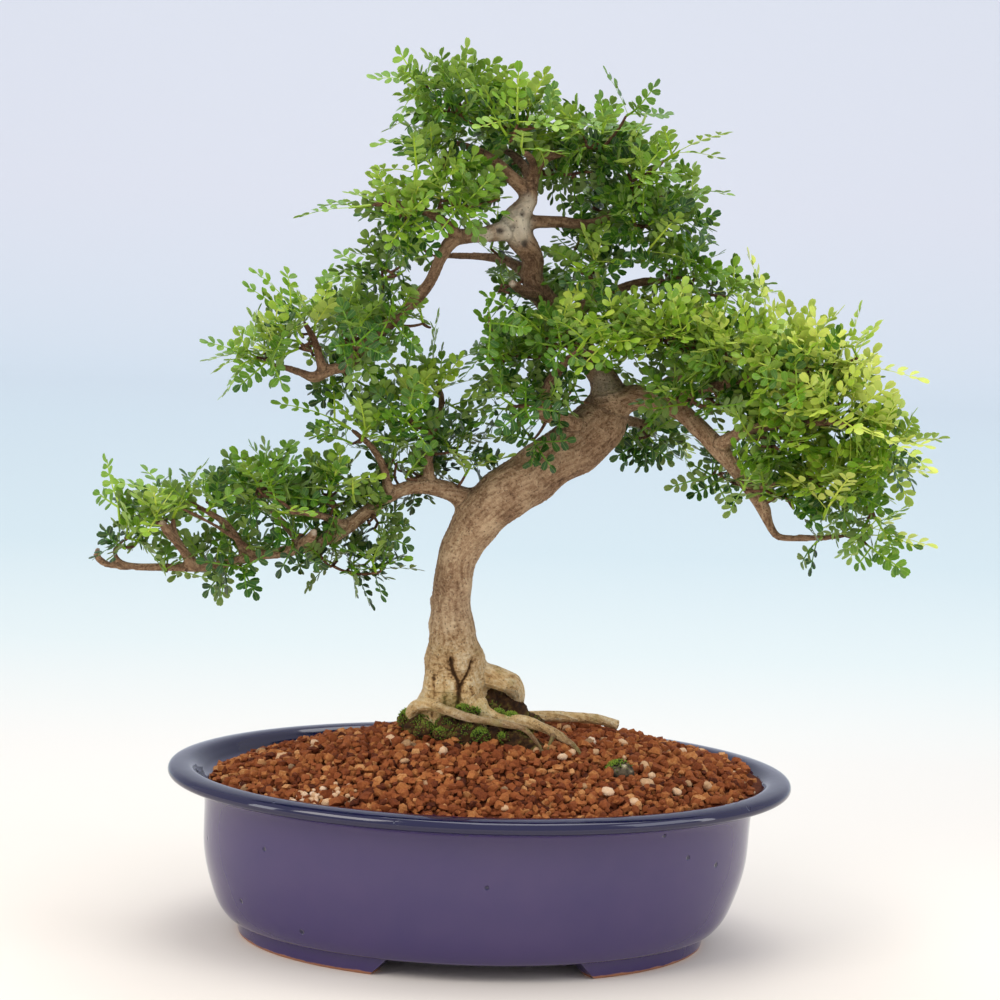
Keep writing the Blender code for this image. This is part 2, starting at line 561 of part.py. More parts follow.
def shoot_sheet(anchor, twig_aim, aim, draw, leaves):
    """Sheet of one leafy shoot: a strip that carries alternate leaves and one at its tip."""
    outward = Vector((anchor.x, anchor.y * OUTWARD_DEPTH, 0)).normalized()
    sway = Vector((draw.uniform(-FACE_SWAY, FACE_SWAY), draw.uniform(-FACE_SWAY, FACE_SWAY), 0))
    face = Vector((0, 0, 1)) + sway + outward * OUTWARD_FACE
    side = aim.cross(face).normalized()
    face = side.cross(aim)
    step = SHOOT_LENGTH / leaves
    square = (side - twig_aim * side.dot(twig_aim)).normalized()
    points, triangles = [anchor - square * SHOOT_HALF_WIDTH, anchor + square * SHOOT_HALF_WIDTH], []
    for k in range(1, leaves + 1):
        centre = anchor + twig_aim * SHOOT_FOOT + aim * step * k
        points += [centre - side * SHOOT_HALF_WIDTH, centre + side * SHOOT_HALF_WIDTH]
    for k in range(leaves):
        a, b, c, d = 2 * k, 2 * k + 1, 2 * k + 3, 2 * k + 2
        triangles += [(a, b, c), (a, c, d)]
    hand = draw.choice((-1, 1))
    for k in range(leaves - 1):
        first = 2 * (k + 1)
        base = (first + 3, first + 1) if hand == 1 else (first, first + 2)
        lift = draw.uniform(*SIDE_LEAF_LIFT)
        out = (aim * draw.uniform(*SIDE_LEAF_AHEAD) + side * hand + face * lift).normalized()
        length = draw.uniform(*LEAF_LENGTH) * SIDE_LEAF_SHARE
        grow_leaf(points, triangles, base, out, face, length, SIDE_PAIRS)
        hand = -hand
    last = 2 * leaves
    lift = draw.uniform(*END_LEAF_LIFT)
    ahead = (aim + face * lift + side * draw.uniform(-END_LEAF_SWAY, END_LEAF_SWAY)).normalized()
    length = draw.uniform(*LEAF_LENGTH)
    grow_leaf(points, triangles, (last, last + 1), ahead, face, length, END_PAIRS)
    return points, triangles


def search_tree(points, triangles, thickness):
    """Search tree of a sheet given some thickness, to find what it would touch."""
    solid_points, faces = thick_sheet(points, triangles, thickness)
    return BVHTree.FromPolygons(solid_points, faces)


def wood_tree(item):
    """Search tree of an object, in mm round the pot's centre."""
    points = [(item.matrix_world @ v.co - POT_CENTRE) / MM for v in item.data.vertices]
    return BVHTree.FromPolygons(points, [tuple(p.vertices) for p in item.data.polygons])


def fold_count(points, triangles):
    """How many pairs of triangles of a sheet cross each other without sharing a point."""
    sheet = BVHTree.FromPolygons(points, triangles)
    return sum(1 for a, b in sheet.overlap(sheet) if not set(triangles[a]) & set(triangles[b]))


def shoot_try(number, attempt, anchor, aim):
    """One seeded arrangement of a shoot's leaves; later attempts sway further and may drop a leaf."""
    draw = random.Random(LEAF_SEED + 100 * number + attempt)
    sway = TRY_SWAY[0] + TRY_SWAY[1] * attempt
    tilt = Vector((draw.uniform(-sway, sway), draw.uniform(-sway, sway), draw.uniform(-sway, sway)))
    leaves = 3 if attempt < FULL_TRIES and number % 2 else 2
    return shoot_sheet(anchor, aim, (aim + tilt).normalized(), draw, leaves)


def grow_shoot(number, anchor, aim, taken, finish):
    """Try arrangements of a shoot's leaves until one finds free room."""
    for attempt in range(LEAF_TRIES):
        points, triangles = shoot_try(number, attempt, anchor, aim)
        if fold_count(points, triangles):
            continue
        body = search_tree(points, triangles, LEAF_THICKNESS + LEAF_SPACING)
        if any(body.overlap(other) for other in taken[1:]):
            continue
        if search_tree(points, triangles, LEAF_THICKNESS + WOOD_SPACING).overlap(taken[0]):
            continue
        taken.append(body)
        blade = thick_sheet(points, triangles, LEAF_THICKNESS)
        return solid_object("spray_%02d" % number, *blade, finish)
    print("no room for shoot", number)
    return None


def make_shoots(tree, branches, twigs):
    """A leafy shoot on the end of every branch and side twig."""
    green = material("Leaf green", (0.08, 0.26, 0.02), 0.4)
    taken = [wood_tree(tree)]
    for number, path in enumerate(list(branches.values()) + twigs, 1):
        aim = directions(path)[-1]
        grow_shoot(number, path[-1][0] + aim * CLEARANCE, aim, taken, green)


def main():
    clear_scene()
    make_pot()
    make_screen("drain_screen_left", -1)
    make_screen("drain_screen_right", 1)
    make_soil(lower_wood(CLEARANCE))
    branches, twigs = wood_plan()
    tree = make_tree(branches, twigs)
    make_shoots(tree, branches, twigs)


main()
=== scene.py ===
import math
import random

import bmesh
import bpy
import numpy as np
from mathutils import Matrix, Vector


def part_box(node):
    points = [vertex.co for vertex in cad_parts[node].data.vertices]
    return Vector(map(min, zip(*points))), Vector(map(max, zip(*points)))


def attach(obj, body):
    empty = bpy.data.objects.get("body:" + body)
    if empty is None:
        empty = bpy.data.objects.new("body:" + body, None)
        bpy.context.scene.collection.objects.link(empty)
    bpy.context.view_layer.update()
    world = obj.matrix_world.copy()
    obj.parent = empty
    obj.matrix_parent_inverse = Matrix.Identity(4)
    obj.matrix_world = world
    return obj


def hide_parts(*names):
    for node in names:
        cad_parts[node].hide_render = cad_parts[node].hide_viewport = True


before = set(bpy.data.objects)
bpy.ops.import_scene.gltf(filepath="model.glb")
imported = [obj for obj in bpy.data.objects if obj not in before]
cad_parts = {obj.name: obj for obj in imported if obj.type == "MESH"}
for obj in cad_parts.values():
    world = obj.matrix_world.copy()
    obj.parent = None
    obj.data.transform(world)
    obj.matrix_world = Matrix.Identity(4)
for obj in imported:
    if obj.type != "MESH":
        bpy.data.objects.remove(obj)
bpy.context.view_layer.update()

# All lengths are in mm from the middle of the pot's base, +Z up and the front towards -Y.
mm = 0.001
potCentre = np.array((-14.0, 0.0, 0.0))     # that point in the frame
zAxis = np.array((0.0, 0.0, 1.0))


def report(stage):
    print("bonsai:", stage)


def unit(rows):
    # each row divided by its own length
    rows = np.asarray(rows, float)
    return rows / np.maximum(np.linalg.norm(rows, axis=-1, keepdims=True), 1e-9)


def smoothNoise(points, size, seed=0):
    # random values from -1 to 1 at the corners of cubes of that size, blended smoothly in between
    place = np.asarray(points, float) / size
    cell = np.floor(place).astype(np.int64)
    share = place - cell
    share = share * share * (3 - 2 * share)
    values = np.random.default_rng(seed).uniform(-1, 1, 8192)
    total = np.zeros(len(place))
    for corner in range(8):
        step = np.array((corner & 1, corner >> 1 & 1, corner >> 2 & 1))
        spot = cell + step
        mixed = spot[:, 0] * 73856093 ^ spot[:, 1] * 19349663 ^ spot[:, 2] * 83492791
        total += values[mixed % 8192] * np.prod(np.where(step, share, 1 - share), axis=1)
    return total


def smoothPath(route, steps):
    # a Catmull-Rom curve through the route's (x, y, z, radius) rows; the radius eases from row to row
    rows = np.array(route, float)
    points = np.vstack((2 * rows[0, :3] - rows[1, :3], rows[:, :3], 2 * rows[-1, :3] - rows[-2, :3]))
    spans = len(rows) - 1
    place = np.minimum(np.arange(steps + 1) * spans / steps, spans - 1e-6)
    k = place.astype(int)
    t = (place - k)[:, None]
    a, b, c, d = (points[k + n] for n in range(4))
    curve = 2 * b + (c - a) * t + (2 * a - 5 * b + 4 * c - d) * t ** 2 + (3 * b - a - 3 * c + d) * t ** 3
    ease = (3 * t ** 2 - 2 * t ** 3)[:, 0]
    return curve / 2, rows[k, 3] + (rows[k + 1, 3] - rows[k, 3]) * ease


def circle(count):
    # that many angles, evenly round a circle
    return np.arange(count) * 2 * np.pi / count


def between(value, none, full):
    # 0 up to none, 1 from full on, and in proportion between them
    return np.clip((value - none) / (full - none), 0, 1)


def falloff(points, place, reach, power=1):
    # e to the minus (distance / reach) to twice the power: 1 at the place, next to nothing far from it
    return np.exp(-(((points - place) ** 2).sum(1) / reach ** 2) ** power)


def directions(points):
    # from the point before to the point after
    return unit(np.vstack((points[1:], points[-1:])) - np.vstack((points[:1], points[:-1])))


def tubeFaces(rings, sides):
    # two triangles between neighbours of neighbouring rings, and a fan round a pole at each end
    ring, spoke = np.meshgrid(np.arange(rings - 1), np.arange(sides), indexing="ij")
    a = (ring * sides + spoke).ravel()
    b = (ring * sides + (spoke + 1) % sides).ravel()
    k = np.arange(sides)
    after = (k + 1) % sides
    last = (rings - 1) * sides
    return np.vstack((np.c_[a, b, b + sides], np.c_[a, b + sides, a + sides],
                      np.c_[np.full(sides, rings * sides), after, k],
                      np.c_[np.full(sides, rings * sides + 1), last + k, last + after]))


def tube(points, radii, sides, fold=None):
    # rings square to a path, without twist; fold gives a share of the radius for each angle and height
    along = directions(points)
    spoke = np.array((1.0, 0, 0)) if abs(along[0][1]) >= 0.8 else np.array((0, 1.0, 0))
    across = np.empty_like(points)
    for k, ahead in enumerate(along):
        spoke = spoke - ahead * (spoke @ ahead)
        spoke = spoke / np.linalg.norm(spoke)
        across[k] = spoke
    over = np.cross(along, across)
    angle = circle(sides)
    reach = radii[:, None] * (fold(angle[None], points[:, 2:]) if fold else np.ones((1, sides)))
    spokes = across[:, None] * np.cos(angle)[:, None] + over[:, None] * np.sin(angle)[:, None]
    skin = points[:, None] + spokes * reach[..., None]
    return np.vstack((skin.reshape(-1, 3), points[0], points[-1])), tubeFaces(len(points), sides)


def copies(faces, count, corners):
    # the triangles of that many bodies in a row, each with that many corners
    return (faces + np.arange(count)[:, None, None] * corners).reshape(-1, 3)


def joined(parts):
    # several (points, triangles) made one, the later triangles numbered on
    starts = np.cumsum([0] + [len(points) for points, _ in parts])
    return (np.vstack([points for points, _ in parts]),
            np.vstack([faces + start for (_, faces), start in zip(parts, starts)]))


def makeMesh(name, points, faces, values=None, uv=None, sharp=None):
    # values holds named numbers or vectors, one for each point or each face; sharp is in degrees
    mesh = bpy.data.meshes.new(name)
    mesh.from_pydata(((points + potCentre) * mm).tolist(), [], np.asarray(faces).tolist())
    for title, numbers in (values or {}).items():
        domain = "POINT" if len(numbers) == len(points) else "FACE"
        vector = np.ndim(numbers) == 2
        layer = mesh.attributes.new(title, "FLOAT_VECTOR" if vector else "FLOAT", domain)
        layer.data.foreach_set("vector" if vector else "value", np.ravel(numbers).astype(np.float32))
    if uv is not None:
        corners = np.asarray(faces).ravel()
        mesh.uv_layers.new(name="UVMap").data.foreach_set("uv", uv[corners].ravel().astype(np.float32))
    mesh.shade_smooth()
    if sharp:
        mesh.set_sharp_from_angle(angle=math.radians(sharp))
    return mesh


def placed(name, data):
    # a new object of that name with this data, in the scene
    item = bpy.data.objects.new(name, data)
    bpy.context.scene.collection.objects.link(item)
    return item


def addPiece(name, mesh, material, nodes=()):
    # an object at the origin with this mesh and material, which rides on the part's one body
    piece = placed(name, mesh)
    mesh.materials.clear()
    mesh.materials.append(material)
    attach(piece, "root")
    if nodes:
        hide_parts(*nodes)
    report(f"{name}, {len(mesh.polygons)} faces")


def afterModifiers(name, mesh, prepare):
    # the mesh as it is once the modifiers that prepare adds have worked on it
    item = placed(name, mesh)
    helpers = prepare(item) or []
    shown = item.evaluated_get(bpy.context.evaluated_depsgraph_get())
    made = bpy.data.meshes.new_from_object(shown)
    for old in [item, *helpers]:
        bpy.data.objects.remove(old)
    return made


def meshArrays(mesh):
    # its points in mm from the middle of the pot's base, and its triangles
    mesh.calc_loop_triangles()
    points = np.empty(len(mesh.vertices) * 3)
    mesh.vertices.foreach_get("co", points)
    faces = np.empty(len(mesh.loop_triangles) * 3, np.int32)
    mesh.loop_triangles.foreach_get("vertices", faces)
    return points.reshape(-1, 3) / mm - potCentre, faces.reshape(-1, 3)


def pointNormals(points, faces):
    # the sum of the cross products of the triangles round each point, made one long
    a, b, c = (points[faces[:, k]] for k in range(3))
    cross = np.cross(b - a, c - a)
    total = np.zeros_like(points)
    for axis in range(3):
        for k in range(3):
            total[:, axis] += np.bincount(faces[:, k], cross[:, axis], len(points))
    return unit(total)


# Materials

def hexColour(text):
    # an sRGB hex value as the linear red, green, blue and alpha of a socket
    parts = np.array([int(text[k:k + 2], 16) for k in (1, 3, 5)]) / 255
    linear = np.where(parts <= 0.04045, parts / 12.92, ((parts + 0.055) / 1.055) ** 2.4)
    return (*linear.tolist(), 1.0)


def everyMm(size):
    # scale of a texture on object coordinates, which are in metres, for a pattern of that size in mm
    return 1 / (size * mm)


mainOutput = {"Attribute": "Fac", "Mix": 2, "TexCoord": "Object"}     # of nodes where it isn't the first


def wire(tree, target, sockets):
    # each socket gets a value, or a link from a node's main output or from the output given
    for socket, value in sockets.items():
        if isinstance(value, bpy.types.Node):
            value = value.outputs[mainOutput.get(value.bl_idname.replace("ShaderNode", ""), 0)]
        if isinstance(value, bpy.types.NodeSocket):
            tree.links.new(value, target.inputs[socket])
        else:
            target.inputs[socket].default_value = value


def node(tree, kind, sockets=None, stops=(), **settings):
    # one node of that kind: its settings, what its sockets hold or are linked to, and a ramp's colours
    made = tree.nodes.new("ShaderNode" + kind)
    for title, value in settings.items():
        setattr(made, title, value)
    wire(tree, made, sockets or {})
    for k, (place, colour) in enumerate(stops):
        stop = made.color_ramp.elements[k] if k < 2 else made.color_ramp.elements.new(place)
        stop.position = place
        stop.color = hexColour(colour)
    return made


def newMaterial(name, sockets):
    # a material with these values in its shader; patterns are linked over some of them afterwards
    made = bpy.data.materials.new(name)
    made.use_nodes = True
    shader = made.node_tree.nodes["Principled BSDF"]
    wire(made.node_tree, shader, sockets)
    return made, made.node_tree, shader


leafLook = {
    "usual": "#5f8c1f",
    "colours": [(0.0, "#12300c"), (0.22, "#2d5a12"), (0.48, "#69941e"), (0.75, "#9dbb38"), (1.0, "#d2dc62")],
    "underside": "#98ad5e", "rib": "#a9c062",
    "blotch": 3.5,            # mm across
    "veins": 44.0,            # side veins: a wave every 2 pi / 44 of the leaflet's length
}


def leafMaterial():
    # a living leaf with a wax skin: smooth above, so each leaflet catches the light softly, and duller below
    made, tree, shader = newMaterial("waxy pepper leaf", {
        "Base Color": hexColour(leafLook["usual"]), "Roughness": 0.34, "IOR": 1.42,
        "Subsurface Weight": 0.2, "Subsurface Scale": 0.0006, "Subsurface Radius": (0.6, 1.0, 0.25)})
    place = node(tree, "TexCoord")
    tone = node(tree, "Attribute", attribute_name="tone")
    under = node(tree, "Attribute", attribute_name="under")
    blotch = node(tree, "TexNoise", {"Vector": place, "Scale": everyMm(leafLook["blotch"]), "Detail": 3.0})
    shift = node(tree, "MapRange", {"Value": blotch, "To Min": -0.13, "To Max": 0.13})
    shade = node(tree, "Math", {0: tone, 1: shift}, operation="ADD")
    colour = node(tree, "ValToRGB", {"Fac": shade}, leafLook["colours"])
    # the rib is a pale line down the middle, and the side veins lean forward from it
    spot = node(tree, "SeparateXYZ", {"Vector": place.outputs["UV"]})
    off = node(tree, "Math", {0: spot.outputs["Y"], 1: 0.5}, operation="SUBTRACT")
    away = node(tree, "Math", {0: off}, operation="ABSOLUTE")
    ribbed = node(tree, "MapRange", {"Value": away, "From Min": 0.015, "From Max": 0.06,
                                     "To Min": 0.28, "To Max": 0.0})
    pale = node(tree, "Mix", {0: ribbed, 6: colour, 7: hexColour(leafLook["rib"])}, data_type="RGBA")
    dull = node(tree, "Math", {0: under, 1: 0.45}, operation="MULTIPLY")
    face = node(tree, "Mix", {0: dull, 6: pale, 7: hexColour(leafLook["underside"])}, data_type="RGBA")
    rough = node(tree, "MapRange", {"Value": under, "To Min": 0.3, "To Max": 0.5})
    lean = node(tree, "Math", {0: away, 1: -0.9, 2: spot.outputs["X"]}, operation="MULTIPLY_ADD")
    vein = node(tree, "Math", {0: lean, 1: leafLook["veins"]}, operation="MULTIPLY")
    wave = node(tree, "Math", {0: vein}, operation="SINE")
    bump = node(tree, "Bump", {"Height": wave, "Strength": 0.25, "Distance": 0.0001})
    wire(tree, shader, {"Base Color": face, "Roughness": rough, "Normal": bump})
    return made


barkLook = {
    "usual": "#9f7e5e",
    "trunk": [(0.0, "#442c1b"), (0.3, "#816044"), (0.6, "#ae8c6a"), (1.0, "#d6b994")],
    "foot": [(0.0, "#634626"), (0.3, "#b8905c"), (0.6, "#e2bf86"), (1.0, "#f4e2b9")],
    "twig": [(0.0, "#26150d"), (0.5, "#573a28"), (1.0, "#8b6448")],
    "bare": "#f2e5cd", "algae": "#8b8a48", "pore": "#3c2a1e",
    "pores": 2.3,             # mm between the small dark pores
    "clouds": 16, "flecks": 2.6, "grains": 0.9,     # mm across
    "shares": (1.1, 0.5, 1.5),      # how much flecks, clouds and streaks count in the shade
    "shades": (1.46, 2.34),         # the sum at the darkest and at the lightest
}


def barkMaterial():
    # thin smooth bark: matt, tan and grey, with fine long wrinkles, dark pores and ochre at the roots
    made, tree, shader = newMaterial("thin tan bark", {
        "Base Color": hexColour(barkLook["usual"]), "Roughness": 0.82, "IOR": 1.4})
    place = node(tree, "TexCoord")
    grain, relief, crackShade, foot, age, bare, algae = (
        node(tree, "Attribute", attribute_name=title)
        for title in ("grain", "relief", "crackShade", "foot", "age", "bare", "algae"))
    streak = node(tree, "TexNoise", {"Vector": grain.outputs["Vector"], "Scale": 1.0, "Detail": 5.0,
                                     "Roughness": 0.62})
    cloud = node(tree, "TexNoise", {"Vector": place, "Scale": everyMm(barkLook["clouds"]), "Detail": 3.0})
    fleck = node(tree, "TexNoise", {"Vector": place, "Scale": everyMm(barkLook["flecks"]), "Detail": 4.0,
                                    "Roughness": 0.65})
    fine = node(tree, "TexNoise", {"Vector": place, "Scale": everyMm(barkLook["grains"]), "Detail": 3.0})
    pore = node(tree, "TexVoronoi", {"Vector": place, "Scale": everyMm(barkLook["pores"])})
    # painted shade and light: dark in cracks and hollows, light on ridges
    shade = node(tree, "Math", {0: relief, 1: crackShade}, operation="SUBTRACT")
    for pattern, share in zip((fleck, cloud, streak), barkLook["shares"]):
        shade = node(tree, "Math", {0: pattern, 1: share, 2: shade}, operation="MULTIPLY_ADD")
    darkest, lightest = barkLook["shades"]
    level = node(tree, "MapRange", {"Value": shade, "From Min": darkest, "From Max": lightest})
    trunk, low, twig = (node(tree, "ValToRGB", {"Fac": level}, barkLook[part])
                        for part in ("trunk", "foot", "twig"))
    dots = node(tree, "MapRange", {"Value": pore, "From Min": 0.12, "From Max": 0.24,
                                   "To Min": 0.6, "To Max": 0.0})
    colour = node(tree, "Mix", {0: foot, 6: trunk, 7: low}, data_type="RGBA")
    colour = node(tree, "Mix", {0: age, 6: twig, 7: colour}, data_type="RGBA")
    for share, title in ((bare, "bare"), (dots, "pore"), (algae, "algae")):
        colour = node(tree, "Mix", {0: share, 6: colour, 7: hexColour(barkLook[title])}, data_type="RGBA")
    skin = node(tree, "Bump", {"Height": streak, "Strength": 1.0, "Distance": 0.0026})
    for pattern, strength, depth in ((fleck, 0.8, 0.0012), (fine, 0.6, 0.0005)):
        skin = node(tree, "Bump", {"Height": pattern, "Strength": strength, "Distance": depth,
                                   "Normal": skin})
    wire(tree, shader, {"Base Color": colour, "Normal": skin})
    return made


glazeLook = {
    # the lip's colour is painted shade, standing in for the dark room that the lip mirrors; the pinholes show
    # the same dark colour
    "deep": "#2e2259", "thin": "#40305f", "lipShadeAndPinhole": "#0b0838", "clay": "#a8704e",
    # the two heights below set where the lip's painted shade begins
    "thick": (0.084, 0.087),  # heights in metres between which the wall's colour gives way to the lip's
    "bare": 1.1,              # height in mm up to which the feet are left unglazed
    "pit": 17.0,              # mm from pinhole to pinhole
    "gloss": 0.07,
}


def glazeMaterial():
    # cobalt glaze fired on stoneware: a deep blue glass skin that mirrors the room, with a few pinholes
    deep, thin, lipShadeAndPinhole, clay = (hexColour(glazeLook[title]) for title in ("deep", "thin", "lipShadeAndPinhole", "clay"))
    made, tree, shader = newMaterial("cobalt glaze", {
        "Base Color": deep, "Roughness": glazeLook["gloss"], "IOR": 1.6})
    place = node(tree, "TexCoord")
    height = node(tree, "SeparateXYZ", {"Vector": place}).outputs["Z"]
    cloud, drip, swell = (
        node(tree, "TexNoise", {"Vector": place, "Scale": everyMm(size), "Detail": detail})
        for size, detail in ((34, 4.0), (7, 2.0), (11, 2.0)))
    colour = node(tree, "Mix", {0: cloud, 6: deep, 7: thin}, data_type="RGBA")
    # painted shade: from the lip upwards, outside and inside, the glaze is painted a darker navy, which
    # stands in for the dark room that the lip mirrors
    low, high = glazeLook["thick"]
    thick = node(tree, "MapRange", {"Value": height, "From Min": low, "From Max": high})
    colour = node(tree, "Mix", {0: thick, 6: colour, 7: lipShadeAndPinhole}, data_type="RGBA")
    edge = node(tree, "Math", {0: drip, 1: -0.002, 2: height}, operation="MULTIPLY_ADD")
    top = glazeLook["bare"] * mm
    bare = node(tree, "MapRange", {"Value": edge, "From Min": top * 0.2, "From Max": top,
                                   "To Min": 1.0, "To Max": 0.0})
    colour = node(tree, "Mix", {0: bare, 6: colour, 7: clay}, data_type="RGBA")
    rough = node(tree, "MapRange", {"Value": bare, "To Min": glazeLook["gloss"], "To Max": 0.8})
    # in about half of its cells, which the cell's own colour picks, a pinhole shows the dark body
    pit = node(tree, "TexVoronoi", {"Vector": place, "Scale": everyMm(glazeLook["pit"])})
    hole = node(tree, "MapRange", {"Value": pit, "From Min": 0.06, "From Max": 0.1,
                                   "To Min": 1.0, "To Max": 0.0})
    lot = node(tree, "SeparateColor", {"Color": pit.outputs["Color"]})
    chosen = node(tree, "Math", {0: lot.outputs["Red"], 1: 0.5}, operation="GREATER_THAN")
    pinhole = node(tree, "Math", {0: hole, 1: chosen}, operation="MULTIPLY")
    colour = node(tree, "Mix", {0: pinhole, 6: colour, 7: lipShadeAndPinhole}, data_type="RGBA")
    pits = node(tree, "Bump", {"Height": pinhole, "Strength": 0.8, "Distance": 0.0006}, invert=True)
    skin = node(tree, "Bump", {"Height": swell, "Strength": 0.12, "Distance": 0.0008, "Normal": pits})
    wire(tree, shader, {"Base Color": colour, "Roughness": rough, "Normal": skin})
    return made


gritLook = {
    "fired clay grit": [(0.0, "#451e10"), (0.25, "#74391c"), (0.55, "#96532c"), (0.8, "#b3733f"),
                        (1.0, "#cf9a66")],
    "pale stone grit": [(0.0, "#75604c"), (0.35, "#b18a63"), (0.7, "#dcb48c"), (1.0, "#ebd2b8")],
    "damp peaty soil": [(0.0, "#2a1a0f"), (0.3, "#4b3219"), (0.6, "#67602b"), (1.0, "#98994f")],
    "weathered stone": [(0.0, "#2a241c"), (0.4, "#6a5f4c"), (0.7, "#a5987c"), (1.0, "#cfc4aa")],
    "dust": 1.4,              # mm across its patches
}


def gritMaterial(name):
    # fired clay grit, stone and soil: porous and dull, each grain its own shade, with paler dust in places
    stops = gritLook[name]
    made, tree, shader = newMaterial(name, {
        "Base Color": hexColour(stops[2][1]), "Roughness": 0.95, "IOR": 1.35})
    tone = node(tree, "Attribute", attribute_name="tone")
    dust = node(tree, "TexNoise", {"Vector": node(tree, "TexCoord"), "Scale": everyMm(gritLook["dust"]),
                                   "Detail": 5.0, "Roughness": 0.7})
    shift = node(tree, "MapRange", {"Value": dust, "From Min": 0.25, "From Max": 0.75,
                                    "To Min": -0.2, "To Max": 0.2})
    shade = node(tree, "Math", {0: tone, 1: shift}, operation="ADD")
    colour = node(tree, "ValToRGB", {"Fac": shade}, stops)
    bump = node(tree, "Bump", {"Height": dust, "Strength": 0.9, "Distance": 0.0006})
    wire(tree, shader, {"Base Color": colour, "Normal": bump})
    return made


mossLook = {"usual": "#5c7a1c", "colours": [(0.0, "#2b350f"), (0.45, "#5c7a1c"), (1.0, "#9cb838")]}


def mossMaterial():
    # cushion moss: tiny soft leaves, so it is matt and its green is lively at the tips
    made, tree, shader = newMaterial("cushion moss", {
        "Base Color": hexColour(mossLook["usual"]), "Roughness": 0.9, "Subsurface Weight": 0.1,
        "Subsurface Scale": 0.0005})
    tone = node(tree, "Attribute", attribute_name="tone")
    wire(tree, shader, {"Base Color": node(tree, "ValToRGB", {"Fac": tone}, mossLook["colours"])})
    return made


screenLook = {"colour": "#16171a", "roughness": 0.5, "grain": 0.8}     # grain in mm


def screenMaterial():
    # moulded polyethylene mesh: black, evenly satin
    made, tree, shader = newMaterial("black polyethylene", {
        "Base Color": hexColour(screenLook["colour"]), "Roughness": screenLook["roughness"]})
    fine = node(tree, "TexNoise", {"Vector": node(tree, "TexCoord"), "Scale": everyMm(screenLook["grain"]),
                                   "Detail": 2.0})
    wire(tree, shader, {"Normal": node(tree, "Bump", {"Height": fine, "Strength": 0.2, "Distance": 0.0002})})
    return made


# Pot

pot = {
    "columns": 192,           # round the oval
    "steps": 6,               # rows from one profile point to the next
    "holeX": 62.0, "holeRadius": 11.0,
    "footOuter": (127.7, 95.8), "footWidth": 12.0, "footTop": 11.0,
    "footFront": (66.0, 58.0), "footBack": 62.0,    # ends of the left and right foot, degrees round the oval
    "footSlant": 5.0,         # degrees more at the top of a foot
    "lean": 0.03,             # the fired wall leans to the left going down by this share of the height
    # half length, half width and height, from the underside up over the lip and down the inside
    "profile": [
        (40, 30, 9.5), (100, 75, 9.5), (128.5, 96.4, 9.5), (137.5, 103.1, 14.5), (143.8, 107.8, 28),
        (148.6, 111.2, 48), (149.8, 111.8, 75.5), (154.4, 114.6, 83.8), (163.6, 120.6, 85.4),
        (169.0, 124.4, 87.2), (170.4, 125.4, 90), (168.4, 123.2, 93.0), (162, 117, 94.0),
        (157, 112, 92.6), (151, 108, 87), (144, 104, 80), (140.5, 103, 50), (134, 99, 27),
        (118, 87, 16.5), (80, 60, 16.5), (40, 30, 16.5)],
    "thrown": (0.22, 2.1, 60.0),    # throwing lines inside: depth, waves in 2 pi mm, and lowest height
    "inside": 13.2,           # the profile's points after this one lie inside the rim
}


def ovalSurface(profile, columns):
    # each profile row (half length, half width, height) carried round an ellipse; a pole closes each end
    angle = circle(columns)
    skin = np.stack(np.broadcast_arrays(profile[:, :1] * np.cos(angle), profile[:, 1:2] * np.sin(angle),
                                        profile[:, 2:3]), axis=-1)
    ends = np.array(((0, 0, profile[0, 2]), (0, 0, profile[-1, 2])))
    return np.vstack((skin.reshape(-1, 3), ends)), tubeFaces(len(profile), columns)


def footSurface(side):
    # a round-edged bar carried round one end of the oval; its ends slant outwards from the floor up
    width, top = pot["footWidth"], pot["footTop"]
    section = np.array([(0, top), (0, 2.2), (0.5, 0.8), (1.8, 0), (width - 1.8, 0), (width - 0.5, 0.8),
                        (width, 2.2), (width, top)])
    more = pot["footSlant"] * section[:, 1] / top
    front = np.radians(pot["footFront"][(side + 1) // 2] + more)
    back = np.radians(pot["footBack"] + more)
    angle = -front + np.linspace(0, 1, 61)[:, None] * (front + back)
    x = side * (pot["footOuter"][0] - section[:, 0]) * np.cos(angle)
    y = (pot["footOuter"][1] - section[:, 0]) * np.sin(angle)
    skin = np.stack(np.broadcast_arrays(x, y, section[:, 1]), axis=-1)
    points = np.vstack((skin.reshape(-1, 3), skin[0].mean(0), skin[-1].mean(0)))
    faces = tubeFaces(len(angle), len(section))
    return points, faces[:, ::-1] if side > 0 else faces


def leaned(points):
    # the wall and feet as they were fired: the lower a point lies under the lip, the further left
    drop = np.clip(88 - points[:, 2], 0, None)
    return points - drop[:, None] * (pot["lean"], 0, 0)


def boolean(target, other, operation):
    # joins the other mesh to the target or takes it away; the helper object comes back, to be removed
    cutter = placed("cutter", other)
    cutter.hide_render = True
    modifier = target.modifiers.new("join", "BOOLEAN")
    modifier.object = cutter
    modifier.operation = operation
    return cutter


